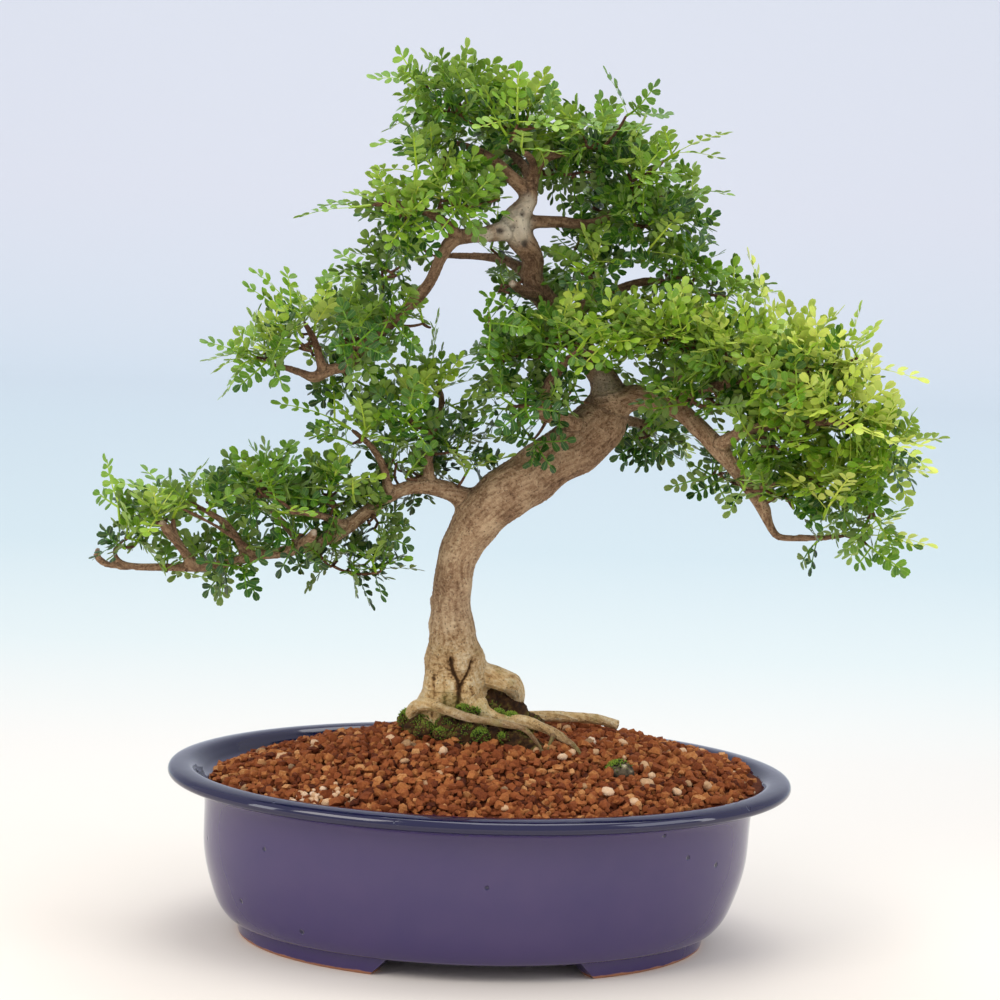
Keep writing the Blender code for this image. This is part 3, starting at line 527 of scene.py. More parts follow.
def makePot(material):
    # the profile carried round the oval, with a sine of the height as throwing lines inside, joined with
    # the two feet and drilled through by two round bars
    profile, _ = smoothPath([(*row, 0) for row in pot["profile"]], pot["steps"] * (len(pot["profile"]) - 1))
    depth, waves, lowest = pot["thrown"]
    rise = profile[:, 2]
    inside = (np.arange(len(profile)) > pot["inside"] * pot["steps"]) & (rise > lowest)
    profile[inside, :2] += (depth * np.sin(rise[inside] * waves))[:, None]
    points, faces = ovalSurface(profile, pot["columns"])
    body = makeMesh("pot", leaned(points), faces)

    def prepare(item):
        helpers = []
        for side in (-1, 1):
            points, faces = footSurface(side)
            helpers.append(boolean(item, makeMesh("foot", leaned(points), faces), "UNION"))
        for side in (-1, 1):
            centre = np.array((side * pot["holeX"], 0, 0))
            line = np.array(((0, 0, 0.0), (0, 0, 30.0))) + centre
            drill = makeMesh("drill", *tube(line, np.full(2, pot["holeRadius"]), 48))
            helpers.append(boolean(item, drill, "DIFFERENCE"))
        return helpers

    made = afterModifiers("pot body", body, prepare)
    made.shade_smooth()
    made.set_sharp_from_angle(angle=math.radians(42))
    addPiece("glazed_pot", made, material, ["pot"])


# Soil

soil = {
    "top": 115.0, "edge": 89.8, "tilt": 3.0, "power": 2.4, "reach": (147.0, 105.0),
    "hollow": 6.0,            # how much lower the back left lies
    "sunk": 2.2,              # the mound lies this far below the grains' level
    "pitch": 3.6,             # mm from grain to grain
    "size": (1.7, 3.1),       # half length of a grain
    "second": 0.42,           # share of places with a second grain on top
    "seed": 11,
    "bare": (-13, 24, 23),    # x of the trunk's foot and the half sizes of the oval there without grains
    "lone": 0.02,             # share of the grains that are pale
    # larger pale stones where they are seen to lie: x, y and half length
    "stones": [(44, -44, 2.7), (62, -30, 2.4), (68, -75, 3.7), (82, -79, 3.5), (89, -58, 3.6), (92, -48, 2.8),
               (122, -42, 3.8), (77, -4, 3.2), (111, 14, 2.6), (125, 62, 2.8), (47, 16, 2.8), (39, 44, 2.8),
               (105, -59, 2.8), (60, -12, 3.2), (-66, 80, 2.6), (14, -98, 2.2)],
    # a drift of pale crumbs: how many, how far they scatter, and the middle, each as x, y and half length
    "crumbs": (46, (9, 3, 0.3), (-84, -77, 1.6)),
}


def soilHeight(x, y):
    # highest round the trunk; the fall to the rim follows a power of the distance out
    reach = np.minimum(np.hypot(x / soil["reach"][0], y / soil["reach"][1]), 1)
    edge = soil["edge"] + soil["tilt"] * x / soil["reach"][0]
    hollow = soil["hollow"] * between(x, -15, -65) * between(y, -15, 45)
    return edge + (soil["top"] - edge) * (1 - reach ** soil["power"]) - hollow


def wallAt(height):
    # half length and half width of the pot's inner wall at a height, read off its profile
    rows = np.array(pot["profile"][13:19])[::-1]
    return np.interp(height, rows[:, 2], rows[:, 0]), np.interp(height, rows[:, 2], rows[:, 1])


def makeMound(material):
    # rings of the mound from the middle out, then down inside the wall to the floor
    share = np.linspace(0.02, 1, 44)[:, None]
    angle = circle(80)
    top = soilHeight(soil["reach"][0] * np.cos(angle), soil["reach"][1] * np.sin(angle))[None]
    wide, deep = wallAt(top)
    x, y = share * (wide - 1.4) * np.cos(angle), share * (deep - 1.4) * np.sin(angle)
    mound = np.stack((x, y, soilHeight(x, y) - soil["sunk"]), axis=-1)
    mound[..., 2] += 0.9 * smoothNoise(mound.reshape(-1, 3), 4.0, 3).reshape(x.shape)
    walls = []
    for height in (78, 60, 40, 27, 20, 17.4):
        wide, deep = wallAt(height)
        walls.append(np.stack(((wide - 1.2) * np.cos(angle), (deep - 1.2) * np.sin(angle),
                               np.full(len(angle), float(height))), axis=-1))
    skin = np.concatenate((mound, walls))
    points = np.vstack((skin.reshape(-1, 3), (0, 0, soil["top"] - soil["sunk"]), (0, 0, 17.4)))
    faces = tubeFaces(len(skin), len(angle))[:, ::-1]
    mesh = makeMesh("soil mound", points, faces, {"tone": np.full(len(points), 0.12)})
    addPiece("soil_mound", mesh, material, ["soil"])


def lumps(places, sizes, turns, seed, rows=3, columns=6, flat=0.75, rough=0.3):
    # a rough ball of rows and columns at each place: its radius wanders by noise, it is squashed and turned
    lean = np.linspace(0, np.pi, rows + 1)[1:-1, None]
    angle = circle(columns)
    ball = np.stack(np.broadcast_arrays(np.sin(lean) * np.cos(angle), np.sin(lean) * np.sin(angle),
                                        -np.cos(lean)), axis=-1).reshape(-1, 3)
    ball = np.vstack((ball, (0, 0, -1), (0, 0, 1)))
    count, corners = len(places), len(ball)
    draw = np.random.default_rng(seed)
    radius = 1 + draw.uniform(-rough, rough, (count, corners))
    stretch = np.stack((draw.uniform(0.85, 1.2, count), draw.uniform(0.7, 1.0, count),
                        draw.uniform(flat - 0.15, flat + 0.15, count)), axis=-1)
    grains = ball * radius[..., None] * (stretch * sizes[:, None])[:, None]
    c, s = np.cos(turns), np.sin(turns)
    one, none = np.ones(count), np.zeros(count)
    yaw = np.stack((c[:, 0], -s[:, 0], none, s[:, 0], c[:, 0], none, none, none, one), -1).reshape(-1, 3, 3)
    roll = np.stack((one, none, none, none, c[:, 1], -s[:, 1], none, s[:, 1], c[:, 1]), -1).reshape(-1, 3, 3)
    grains = np.einsum("nij,njk,nck->nci", yaw, roll, grains) + places[:, None]
    faces = tubeFaces(rows - 1, columns)[:, ::-1]
    return grains.reshape(-1, 3), copies(faces, count, corners)


def grainPlaces():
    # rows of places over the mound, each shifted at random; the outermost stay clear of the rim
    draw = np.random.default_rng(soil["seed"])
    pitch = soil["pitch"]
    x, y = np.meshgrid(np.arange(-147, 148, pitch), np.arange(-105, 106, pitch * 0.866))
    x = x + (np.arange(len(x)) % 2)[:, None] * pitch / 2
    x = (x + draw.uniform(-0.4, 0.4, x.shape) * pitch).ravel()
    y = (y + draw.uniform(-0.4, 0.4, y.shape) * pitch).ravel()
    second = draw.random(len(x)) < soil["second"]
    x, y = np.concatenate((x, x[second] + pitch / 2)), np.concatenate((y, y[second]))
    lift = np.concatenate((draw.uniform(-1.0, 0.9, len(second)), draw.uniform(1.6, 3.0, second.sum())))
    z = soilHeight(x, y)
    wide, deep = wallAt(z)
    inside = np.hypot(x / (wide - 3.5), y / (deep - 3.5)) < 1
    foot, wide, deep = soil["bare"]
    free = np.hypot((x - foot) / wide, y / deep) > 1
    return np.stack((x, y, z - soil["sunk"] + 1.2 + lift), axis=-1)[inside & free], draw


def makeGrit(brown, pale):
    # loose grains of random size, turn and shade on all places, then the pale, grey and pinkish stones
    places, draw = grainPlaces()
    count = len(places)
    sizes = draw.uniform(*soil["size"], count) * draw.choice((0.8, 1.0, 1.25), count)
    turns = draw.uniform(0, 2 * np.pi, (count, 2))
    tones = np.clip(draw.normal(0.5, 0.2, count), 0.03, 0.98)
    rest = draw.random(count) > soil["lone"]
    points, faces = lumps(places[rest], sizes[rest], turns[rest], 21, rough=0.36)
    perGrain = len(points) // rest.sum()
    mesh = makeMesh("clay grit", points, faces, {"tone": np.repeat(tones[rest], perGrain)}, sharp=48)
    addPiece("clay_grit", mesh, brown, ["soil"])
    count, spread, middle = soil["crumbs"]
    stones = np.array(soil["stones"])
    crumbs = draw.normal(size=(count, 3)) * spread + middle
    stones = np.vstack((stones, crumbs))
    level = soilHeight(stones[:, 0], stones[:, 1]) + 1.4
    spots = np.vstack((places[~rest], np.c_[stones[:, :2], level]))
    size = np.concatenate((sizes[~rest], stones[:, 2]))
    turns = draw.uniform(0, 2 * np.pi, (len(spots), 2))
    tones = np.concatenate((draw.uniform(0.1, 0.75, (~rest).sum()), draw.uniform(0.45, 1.0, len(stones))))
    points, faces = lumps(spots, size, turns, 22, 5, 8, 0.7, 0.14)
    perGrain = len(points) // len(spots)
    mesh = makeMesh("pale grit", points, faces, {"tone": np.repeat(tones, perGrain)})
    addPiece("pale_stones", mesh, pale)


# Wood: rows (x, y, z, radius); a branch also has the number of steps that its side twigs are placed by

trunkRoute = [
    (-13, 2, 98, 27), (-13, 1, 110, 26), (-14, 0, 119, 23.5), (-15, 0, 128, 21), (-15.5, -1, 139, 18),
    (-16, -3, 153, 15.8), (-17.4, -5, 170, 12.9), (-18.4, -7, 187, 10.9), (-17.2, -9, 206, 10.1),
    (-13, -10, 220, 10.9), (-4.4, -10, 234.4, 13.4), (8, -8, 246.6, 15.2), (21, -5, 255.6, 15),
    (33, -2, 265, 14), (46, 2, 273, 14.4), (57, 6, 284, 15), (63, 9, 297, 12), (60, 13, 309, 8.2),
    (50, 15, 321, 7), (40, 14, 335, 6.6), (27, 11, 350, 6.4), (19, 8, 362, 6.2), (19, 5, 374, 6.2),
    (12, 2, 384, 7), (9, 1, 394, 7.4), (15, 3, 403, 5.2), (16, 4, 411, 4.6)
]
branchRoutes = {
    "low_left": (13, [(-8, -6, 240, 8), (-21, -12, 248, 5.4), (-34, -16, 251, 4.6), (-45, -20, 250, 4.2),
        (-55, -24, 245, 3.9), (-67, -27, 236, 4.0), (-76, -30, 229, 4.3), (-89, -34, 222, 4.2),
        (-105, -36, 217, 3.6), (-121, -38, 214, 3.1), (-136, -40, 210, 2.8), (-152, -42, 207, 2.6),
        (-168, -44, 207, 2.4), (-184, -46, 207, 2.2), (-194, -46, 209, 2.0), (-197, -45, 216, 1.6),
        (-190, -43, 222, 1.2)]),
    "low_left_rise": (3, [(-127, -38, 212, 2.8), (-137, -41, 229, 2.2), (-150, -43, 238, 1.9),
        (-161, -44, 243, 1.6)]),
    "low_left_end_rise": (3, [(-153, -42, 207, 2.8), (-160, -46, 216, 2.3), (-165, -50, 226, 2.0),
        (-166, -54, 235, 1.6)]),
    "low_left_front": (3, [(-76, -30, 230, 3.2), (-86, -46, 237, 2.4), (-96, -60, 241, 2.0),
        (-104, -72, 243, 1.6)]),
    "low_left_back": (3, [(-98, -34, 219, 3.0), (-108, -14, 226, 2.4), (-118, 4, 232, 2.0),
        (-126, 22, 236, 1.6)]),
    "left_riser": (4, [(-32, -16, 251, 3.6), (-33, -14, 264, 3.0), (-32, -10, 278, 2.6),
        (-27, -8, 294, 2.2), (-30, -10, 308, 1.7)]),
    "left_riser_outer": (3, [(-54, -24, 246, 3.2), (-56, -26, 260, 2.6), (-63, -31, 273, 2.2),
        (-74, -36, 283, 1.7)]),
    "mid_left": (10, [(8, 1, 389, 6), (-10, -8, 386, 4.4), (-23, -14, 384, 4.2), (-30, -18, 374, 3.7),
        (-36, -22, 360, 3.5), (-50, -26, 344, 3.5), (-66, -30, 330, 3.9), (-76, -32, 317, 3.5),
        (-86, -34, 314, 3.2), (-94, -36, 310, 3.1), (-103, -38, 313, 2.4), (-116, -42, 317, 1.8)]),
    "mid_left_rise": (3, [(-90, -35, 313, 2.8), (-95, -36, 330, 2.3), (-101, -38, 340, 1.7)]),
    "mid_left_back": (3, [(-64, -30, 331, 3.0), (-72, -10, 338, 2.4), (-82, 10, 341, 2.0),
        (-88, 28, 345, 1.6)]),
    "bare_knob_left": (4, [(-20, -13, 384, 3.6), (-28, -20, 393, 2.9), (-42, -26, 400, 2.5),
        (-55, -30, 403, 2.2), (-67, -34, 402, 1.7)]),
    "apex_left": (5, [(16, 4, 408, 4.6), (7, 2, 416, 3.8), (1, 0, 422, 3.4), (-9, -4, 429, 2.8),
        (-18, -6, 433, 2.2), (-25, -8, 435, 1.8)]),
    "apex_right": (4, [(16, 4, 409, 4.4), (19, 8, 421, 3.6), (25, 10, 428, 3.2), (34, 13, 430, 2.6),
        (42, 15, 433, 1.8)]),
    "apex_front": (3, [(18, 7, 419, 3.2), (17, -10, 426, 2.6), (14, -27, 431, 2.1), (12, -40, 432, 1.7)]),
    "apex_back": (3, [(17, 6, 416, 3.4), (10, 24, 425, 2.7), (2, 42, 429, 2.2), (-4, 55, 429, 1.7)]),
    "upper_right": (6, [(12, 2, 391, 5), (20, 6, 393, 3.8), (34, 11, 393, 3.4), (49, 16, 392, 3.2),
        (61, 20, 397, 2.9), (76, 26, 404, 2.4), (90, 32, 408, 1.8)]),
    "upper_right_rise": (3, [(60, 20, 396, 2.8), (71, 14, 410, 2.3), (80, 6, 422, 2.0), (87, 0, 428, 1.6)]),
    "right_middle": (5, [(38, 13, 338, 5), (51, 17, 350, 3.6), (63, 20, 355, 3.2), (78, 24, 361, 2.7),
        (94, 28, 361, 2.2), (108, 30, 358, 1.7)]),
    "front_stub": (5, [(48, -3, 284, 5), (38, -12, 290, 4.2), (28, -18, 293, 4.4), (30, -22, 308, 4.0),
        (37, -30, 321, 2.9), (44, -40, 329, 1.9)]),
    "right_main": (11, [(60, 5, 292, 11), (75, 5, 300, 7.4), (86, 2, 300, 6.2), (98, -4, 297, 5.6),
        (108, -10, 290, 5.2), (118, -17, 281, 5.2), (126, -22, 273, 5.0), (138, -27, 259, 4.2),
        (146, -30, 248, 4.0), (150, -31, 239, 2.7), (155, -33, 233, 2.3), (166, -35, 233, 2.1),
        (178, -38, 234, 1.9), (190, -41, 236, 1.6)]),
    "right_top": (5, [(92, 0, 299, 5), (106, -12, 305, 3.6), (121, -24, 312, 3.0), (141, -36, 319, 2.5),
        (160, -44, 324, 2.1), (178, -50, 327, 1.7)]),
    "right_front": (5, [(121, -19, 278, 4.4), (132, -34, 288, 3.4), (149, -50, 295, 2.8),
        (165, -61, 298, 2.4), (178, -68, 300, 2.0), (189, -73, 299, 1.6)]),
    "right_low": (3, [(139, -26, 259, 3.6), (158, -40, 264, 2.6), (174, -50, 269, 2.1),
        (188, -56, 272, 1.7)]),
    "right_back": (4, [(82, 4, 299, 5), (97, 24, 308, 3.4), (115, 38, 318, 2.7), (132, 48, 326, 1.8)]),
    "back_right": (4, [(60, 8, 286, 6), (73, 32, 284, 3.6), (86, 48, 280, 2.9), (97, 62, 276, 1.8)]),
    "back_middle": (4, [(40, 14, 334, 5), (34, 40, 342, 3.2), (24, 62, 346, 2.6), (14, 80, 346, 1.8)]),
    "back_left": (4, [(19, 8, 364, 4.6), (4, 32, 370, 3.0), (-16, 50, 370, 2.4), (-36, 66, 368, 1.7)]),
}
rootRoutes = [
    [(-36, -4, 112, 4), (-38, -9, 122, 3.8), (-36, -16, 130, 3.8), (-28, -22, 133, 3.6),
     (-18, -27, 131, 2.9), (-8, -30, 128.5, 2.4), (3, -32, 127, 2.3), (15, -33, 125.5, 2.2),
     (23, -35, 124, 2.0), (28, -37, 120, 1.8), (33, -40, 114, 1.4), (36, -42, 107, 1.0)],
    [(-3, -15, 132, 6.5), (3, -19, 128, 4.2), (13, -22, 126, 3.4), (24, -24, 125.5, 3.5),
     (34, -28, 123.5, 3.0), (42, -31, 120.5, 2.6), (51, -35, 115, 1.8), (57, -38, 108, 1.2)],
    [(-8, 3, 145, 6.6), (0, 0, 146, 6.4), (6, -3, 145.6, 6.3), (11.5, -4, 144, 6.2), (16, 0, 141.5, 6.2),
     (18, 6, 136, 5.8), (18, 9, 126, 5), (18, 11, 110, 5)],
    [(5, 8, 116, 6), (22, 13, 119, 4.4), (32, 15, 120.5, 3.6), (43, 18, 120.6, 3.3), (54, 21, 119.6, 3.4),
     (65, 24, 118, 3.1), (76, 27, 114.5, 3.3)],
    [(-22, 8, 117, 6), (-42, 16, 110, 4.4), (-60, 24, 104, 3.4), (-72, 28, 97, 2.4)],
    [(-12, 14, 118, 6), (-8, 34, 115, 4.2), (2, 50, 111, 3.2), (8, 60, 103, 2.2)],
    [(40, -30, 122, 1.8), (38, -34, 118, 1.5), (36, -37, 113, 1.2), (36, -38, 107, 0.9)],
]
# short bare stubs where branches were cut, and the end of the lowest branch
stubRoutes = [
    [(-157, -43, 208, 3.0), (-160, -50, 216, 2.5), (-167, -55, 225, 2.2), (-172, -58, 234, 2.3)],
    [(-124, -40, 215, 2.4), (-131, -49, 223, 1.8), (-144, -54, 232, 1.6), (-161, -58, 241, 1.4)],
    [(-98, -38, 221, 3.6), (-93, -49, 227, 2.9), (-91, -58, 231, 2.7)],
    [(-190, -45, 207, 2.3), (-200, -46, 207.5, 2.1), (-206, -46, 211, 2.2), (-206, -46, 217, 1.9)],
    [(25, 10, 352, 4.0), (14, -6, 357, 3.0), (8, -18, 362, 2.4)],
]
# branch, the shares of its length where woody side twigs stand, and how long those twigs are
sideShoots = [
    ("low_left", (0.30, 0.58, 0.84), 17), ("left_riser", (0.62,), 17), ("mid_left", (0.42, 0.74), 17),
    ("bare_knob_left", (0.55,), 17), ("apex_left", (0.45, 0.72), 8), ("apex_right", (0.55,), 9),
    ("apex_front", (0.5,), 10), ("apex_back", (0.5,), 10), ("upper_right", (0.55,), 18),
    ("right_middle", (0.5,), 17), ("front_stub", (0.72,), 14), ("right_main", (0.36, 0.9), 17),
    ("right_top", (0.6,), 17), ("right_front", (0.62,), 17), ("right_back", (0.55,), 17),
    ("back_right", (0.55,), 17), ("back_middle", (0.55,), 17), ("back_left", (0.5,), 17),
]
wood = {
    "voxel": 1.25,            # mm; branches and trunk are joined at this fineness
    "smoothing": 5,
    "lobes": 5, "fold": 0.13, "foldTurn": 0.6, "foldTop": 165.0, "foldFade": 50.0,
    "uneven": 0.04,
    "wrinkle": 0.46, "lump": 0.8,
    "twigTurns": (-62, 62, 5),      # degrees round the branch, in turn
    "grain": (2.2, 9.0),      # mm across and along the wood to one unit of its grain
    # the knots' darkness is painted shade in the knot holes
    "knotDepth": 1.6, "knotDark": 0.8,
    # place, reach and height of the knobs and dents that stand out
    "knobs": [(-8, -15, 197, 3, 2.4), (22, -18, 241, 3.2, 3.0), (22, -10, 271, 5, 3.0),
        (-29, -6, 187, 3, 1.2), (42, -13, 277, 3, -1.8), (50, -12, 282, 2.4, -1.6),
        (33, -16, 262, 3.4, 1.2), (151, -36, 251, 4, 2.4), (-18, -19, 176, 4, 1.0),
        (-25, -17, 212, 4, 1.0), (3, -22, 232, 4, 0.9), (3, -8, 386, 3, 2.0), (66, -4, 303, 5, 1.8),
        (10, -7, 396, 3, 1.7), (-3, -10, 391, 3, 1.4), (14, -6, 388, 2.4, 1.3)],
    "knots": [(8, -7.5, 391, 2.2), (15, -5.5, 382, 2.6), (1, -8, 389, 1.9), (13, -5, 398, 1.6),
        (20, -24, 240, 1.6), (-8, -18, 196, 1.2)],
    # grooves of the front, seen from there: points along each (x and z), then half width, depth and darkness,
    # which is painted shade in the groove
    "clefts": [
        ([(-18, 157), (-16.5, 151), (-14, 146), (-12.5, 142), (-13, 136), (-13.5, 130), (-13, 122)],
         0.7, 3.2, 0.5),
        ([(-5.5, 156), (-7.5, 150), (-10, 146), (-12.5, 142)], 0.65, 2.8, 0.45),
        ([(-27, 148), (-26, 138), (-27, 126)], 0.9, 0.8, 0.3),
        ([(-21, 144), (-20, 134), (-21, 122)], 0.8, 0.7, 0.3),
        ([(-6, 141), (-4, 134), (-5, 128)], 0.8, 0.8, 0.4),
    ],
    # x, y, z, reach and share of bare pale wood: the cut ends and the dead wood at the top
    "bare": [(-172, -59, 235, 3, 0.6), (-90, -60, 232, 4, 0.7), (-206, -46, 218, 3, 0.4),
        (9, -7, 392, 11, 1.0), (-6, -12, 386, 5, 0.8), (15, -4, 402, 7, 0.7), (60, 0, 309, 9, 0.5),
        (151, -36, 251, 4, 0.4), (8, -19, 362, 3, 0.6)],
    # within this box (x, y and z from and to) the triangles are four times as many
    "fine": ((-45, 45), (-60, 2), (106, 164)),
}


def flareFold(angle, height):
    # folds round the flared base, which fade out up the trunk, and a slight unevenness all the way
    depth = wood["fold"] * between(height, wood["foldTop"], wood["foldTop"] - wood["foldFade"])
    folds = depth * np.cos(wood["lobes"] * angle + wood["foldTurn"])
    return 1 + folds + wood["uneven"] * np.sin(2 * angle + height / 9)


def sideTwig(points, radii, share, length, turn):
    # leaves a branch sideways and bends up
    place = share * (len(points) - 1)
    k = min(int(place), len(points) - 2)
    start = points[k] + (points[k + 1] - points[k]) * (place - k)
    radius = radii[k] + (radii[k + 1] - radii[k]) * (place - k)
    along = unit(points[k + 1] - points[k])
    side = unit(np.cross(along, zAxis))
    out = unit(along * 0.35 + side * math.sin(turn) + np.cross(side, along) * math.cos(turn))
    reach = radius + length
    tip = start + out * reach + zAxis * 0.18 * reach
    return smoothPath([(*start, 1.9), (*(start + out * reach * 0.6), 1.9), (*tip, 1.5)], 2)


def woodPlan():
    # the paths that shoots stand on, coarse as in the frame: every branch, then every side twig
    paths = {name: smoothPath(route, steps) for name, (steps, route) in branchRoutes.items()}
    turns = wood["twigTurns"]
    for name, shares, length in sideShoots:
        for share in shares:
            count = len(paths) - len(branchRoutes)
            turn = math.radians(turns[count % len(turns)])
            paths[f"{name} twig {count}"] = sideTwig(*paths[name], share, length, turn)
    return paths


def nearestSample(points, samples, radii):
    # for each point, the path sample whose surface is nearest
    found = np.empty(len(points), int)
    for start in range(0, len(points), 3000):
        some = points[start:start + 3000]
        gap = np.sqrt(((some[:, None] - samples[None]) ** 2).sum(-1)) - radii
        found[start:start + 3000] = gap.argmin(1)
    return found


def distanceToLine(points, line):
    # the least distance to any stretch of a line of points
    best = np.full(len(points), 1e9)
    for a, b in zip(line[:-1], line[1:]):
        a, b = np.array(a, float), np.array(b, float)
        t = np.clip((points - a) @ (b - a) / ((b - a) @ (b - a)), 0, 1)
        best = np.minimum(best, np.linalg.norm(points - a - t[:, None] * (b - a), axis=1))
    return best


def refined(points, faces, chosen):
    # the triangles round the chosen points, each cut into four
    work = bmesh.new()
    mesh = makeMesh("coarse", points, faces)
    work.from_mesh(mesh)
    work.verts.ensure_lookup_table()
    edges = [edge for edge in work.edges if chosen[edge.verts[0].index] and chosen[edge.verts[1].index]]
    bmesh.ops.subdivide_edges(work, edges=edges, cuts=1, use_grid_fill=True)
    bmesh.ops.triangulate(work, faces=work.faces)
    work.to_mesh(mesh)
    work.free()
    return meshArrays(mesh)


def makeWood(material):
    # tubes along trunk, branches and roots, fused into one skin, smoothed, then given the bark's relief
    lines = [smoothPath(trunkRoute, 150)]
    lines += [smoothPath(route, 8 * len(route)) for _, route in branchRoutes.values()]
    lines += [smoothPath(route, 8 * len(route)) for route in rootRoutes + stubRoutes]
    trunkParts = [tube(*lines[0], 48, flareFold)] + [tube(*line, 16) for line in lines[1:]]
    fused = makeMesh("wood", *joined(trunkParts))

    def prepare(item):
        modifier = item.modifiers.new("fuse", "REMESH")
        modifier.mode = "VOXEL"
        modifier.voxel_size = wood["voxel"] * mm

    points, faces = meshArrays(afterModifiers("wood", fused, prepare))
    low, high = np.array(wood["fine"], float).T
    chosen = ((points > low) & (points < high)).all(1)
    points, faces = refined(points, faces, chosen)
    a, b = np.vstack((faces[:, :2], faces[:, 1:], faces[:, [2, 0]])).T
    count = np.bincount(a, minlength=len(points))[:, None]
    for _ in range(wood["smoothing"]):      # each point moves half way to the middle of its neighbours
        middle = np.stack([np.bincount(a, points[b, axis], len(points)) for axis in range(3)], -1) / count
        points = (points + middle) / 2
    samples = np.vstack([line[0] for line in lines])
    radii = np.concatenate([line[1] for line in lines])
    travel = np.concatenate([np.cumsum(np.r_[0, np.linalg.norm(np.diff(line[0], axis=0), axis=1)])
                             for line in lines])
    kind = np.concatenate([np.full(len(line[0]), k) for k, line in enumerate(lines)])
    near = nearestSample(points, samples, radii)
    off = points - samples[near]
    radius, run, line = radii[near], travel[near], kind[near]
    normals = pointNormals(points, faces)
    across, ahead = wood["grain"]
    grain = off / across + (run / ahead)[:, None] * np.array((0.4, 0.5, 0.77))
    scale = np.where(line > len(branchRoutes), 0.6, np.clip(radius / 12, 0.12, 1))
    # the relief is noise along the grain and broad noise, plus the knobs, less the clefts and knots
    wrinkles = smoothNoise(grain, 1.0, 5) + 0.5 * smoothNoise(grain, 0.5, 6)
    relief = wrinkles * wood["wrinkle"] * scale
    relief += smoothNoise(points, 11, 7) * wood["lump"] * scale
    for x, y, z, reach, height in wood["knobs"]:
        relief += height * falloff(points, (x, y, z), reach)
    # the darkness gathered here is painted shade in the clefts and the knot holes
    crackShade = np.zeros(len(points))
    front = between(points[:, 1], -8, -11) * (line == 0)
    for groove, width, depth, dark in wood["clefts"]:
        gap = distanceToLine(points[:, [0, 2]], groove)
        near, wide = (front * np.exp(-(gap / reach) ** 2) for reach in (width, width * 3.4))
        relief -= depth * (0.5 * near + 0.5 * wide)
        crackShade = np.maximum(crackShade, dark * near)
    for x, y, z, reach in wood["knots"]:
        near = falloff(points, (x, y, z), reach, 2)
        relief -= wood["knotDepth"] * near
        crackShade = np.maximum(crackShade, wood["knotDark"] * near)
    points = points + normals * relief[:, None]
    bare = np.zeros(len(points))
    for x, y, z, reach, share in wood["bare"]:
        bare = np.maximum(bare, share * falloff(points, (x, y, z), reach, 2))
    bare *= np.clip(1 - crackShade, 0, 1) * (0.8 + 0.2 * smoothNoise(points, 3.0, 14))
    height = points[:, 2]
    # ochre and algae fade out up the trunk; thin wood is young, so darker, and the wood grows darker in two
    # steps higher up
    algae = np.clip(smoothNoise(points, 9, 9) * 1.4 - 0.45, 0, 0.45) * between(height, 170, 130)
    aged = np.clip((radius - 1.2) / 2.4, 0.12, 1) * (1 - 0.3 * between(height, 228, 253))
    aged *= 1 - 0.5 * between(height, 290, 330)
    # the relief also darkens the bark's colour in hollows and lightens it on ridges: painted shade and light
    values = {
        "grain": grain * 1.3, "relief": np.clip(0.5 + relief * 0.22, 0, 1), "age": aged,
        "foot": between(height, 182, 137), "bare": bare, "algae": algae, "crackShade": crackShade,
    }
    addPiece("tree_wood", makeMesh("bark", points, faces, values), material, ["tree"])


# Foliage

leaves = {
    "seed": 524000,           # the frame's own draw, which the first leaves of each shoot repeat
    "tries": 40, "fullTries": 28,
    "length": (42.0, 50.0),
    "petiole": 0.2, "arch": 0.2,
    "leaflet": (7.1, 4.5),    # length and width
    "thick": 0.4,
    "inset": (14.0, 14.0, 17.0),    # a shoot stands this far inside its crowd's skin, which its leaves reach
    "sunk": 4.0,              # and this far below the middle, since most leaves rise
    "apart": 6.5,             # least distance between shoots
    "frameShare": 0.68,       # length of the finer leaves in the places of the frame's own
    "count": (4, 7),          # leaves on a shoot of a crowd
    "grown": (19.0, 31.0),    # their length
    # places seen bare from the front: x and z of the middle, half sizes, and the wood's y
    "clearings": [(112, 281, 14, 13, -8), (-35, 252, 12, 6, -12), (-69, 232, 7, 5, -24),
        (-92, 231, 5, 5, -50), (-167, 225, 5, 9, -44), (-145, 231, 12, 9, -42), (-191, 211, 11, 4, -40),
        (10, 390, 13, 9, 4), (15, 415, 6, 7, 4), (-35, 365, 4, 10, -14), (-95, 323, 6, 12, -26),
        (13, 359, 5, 6, 8), (59, 301, 9, 12, 6), (155, 243, 5, 8, -26), (-20, 354, 11, 19, 90)],
}
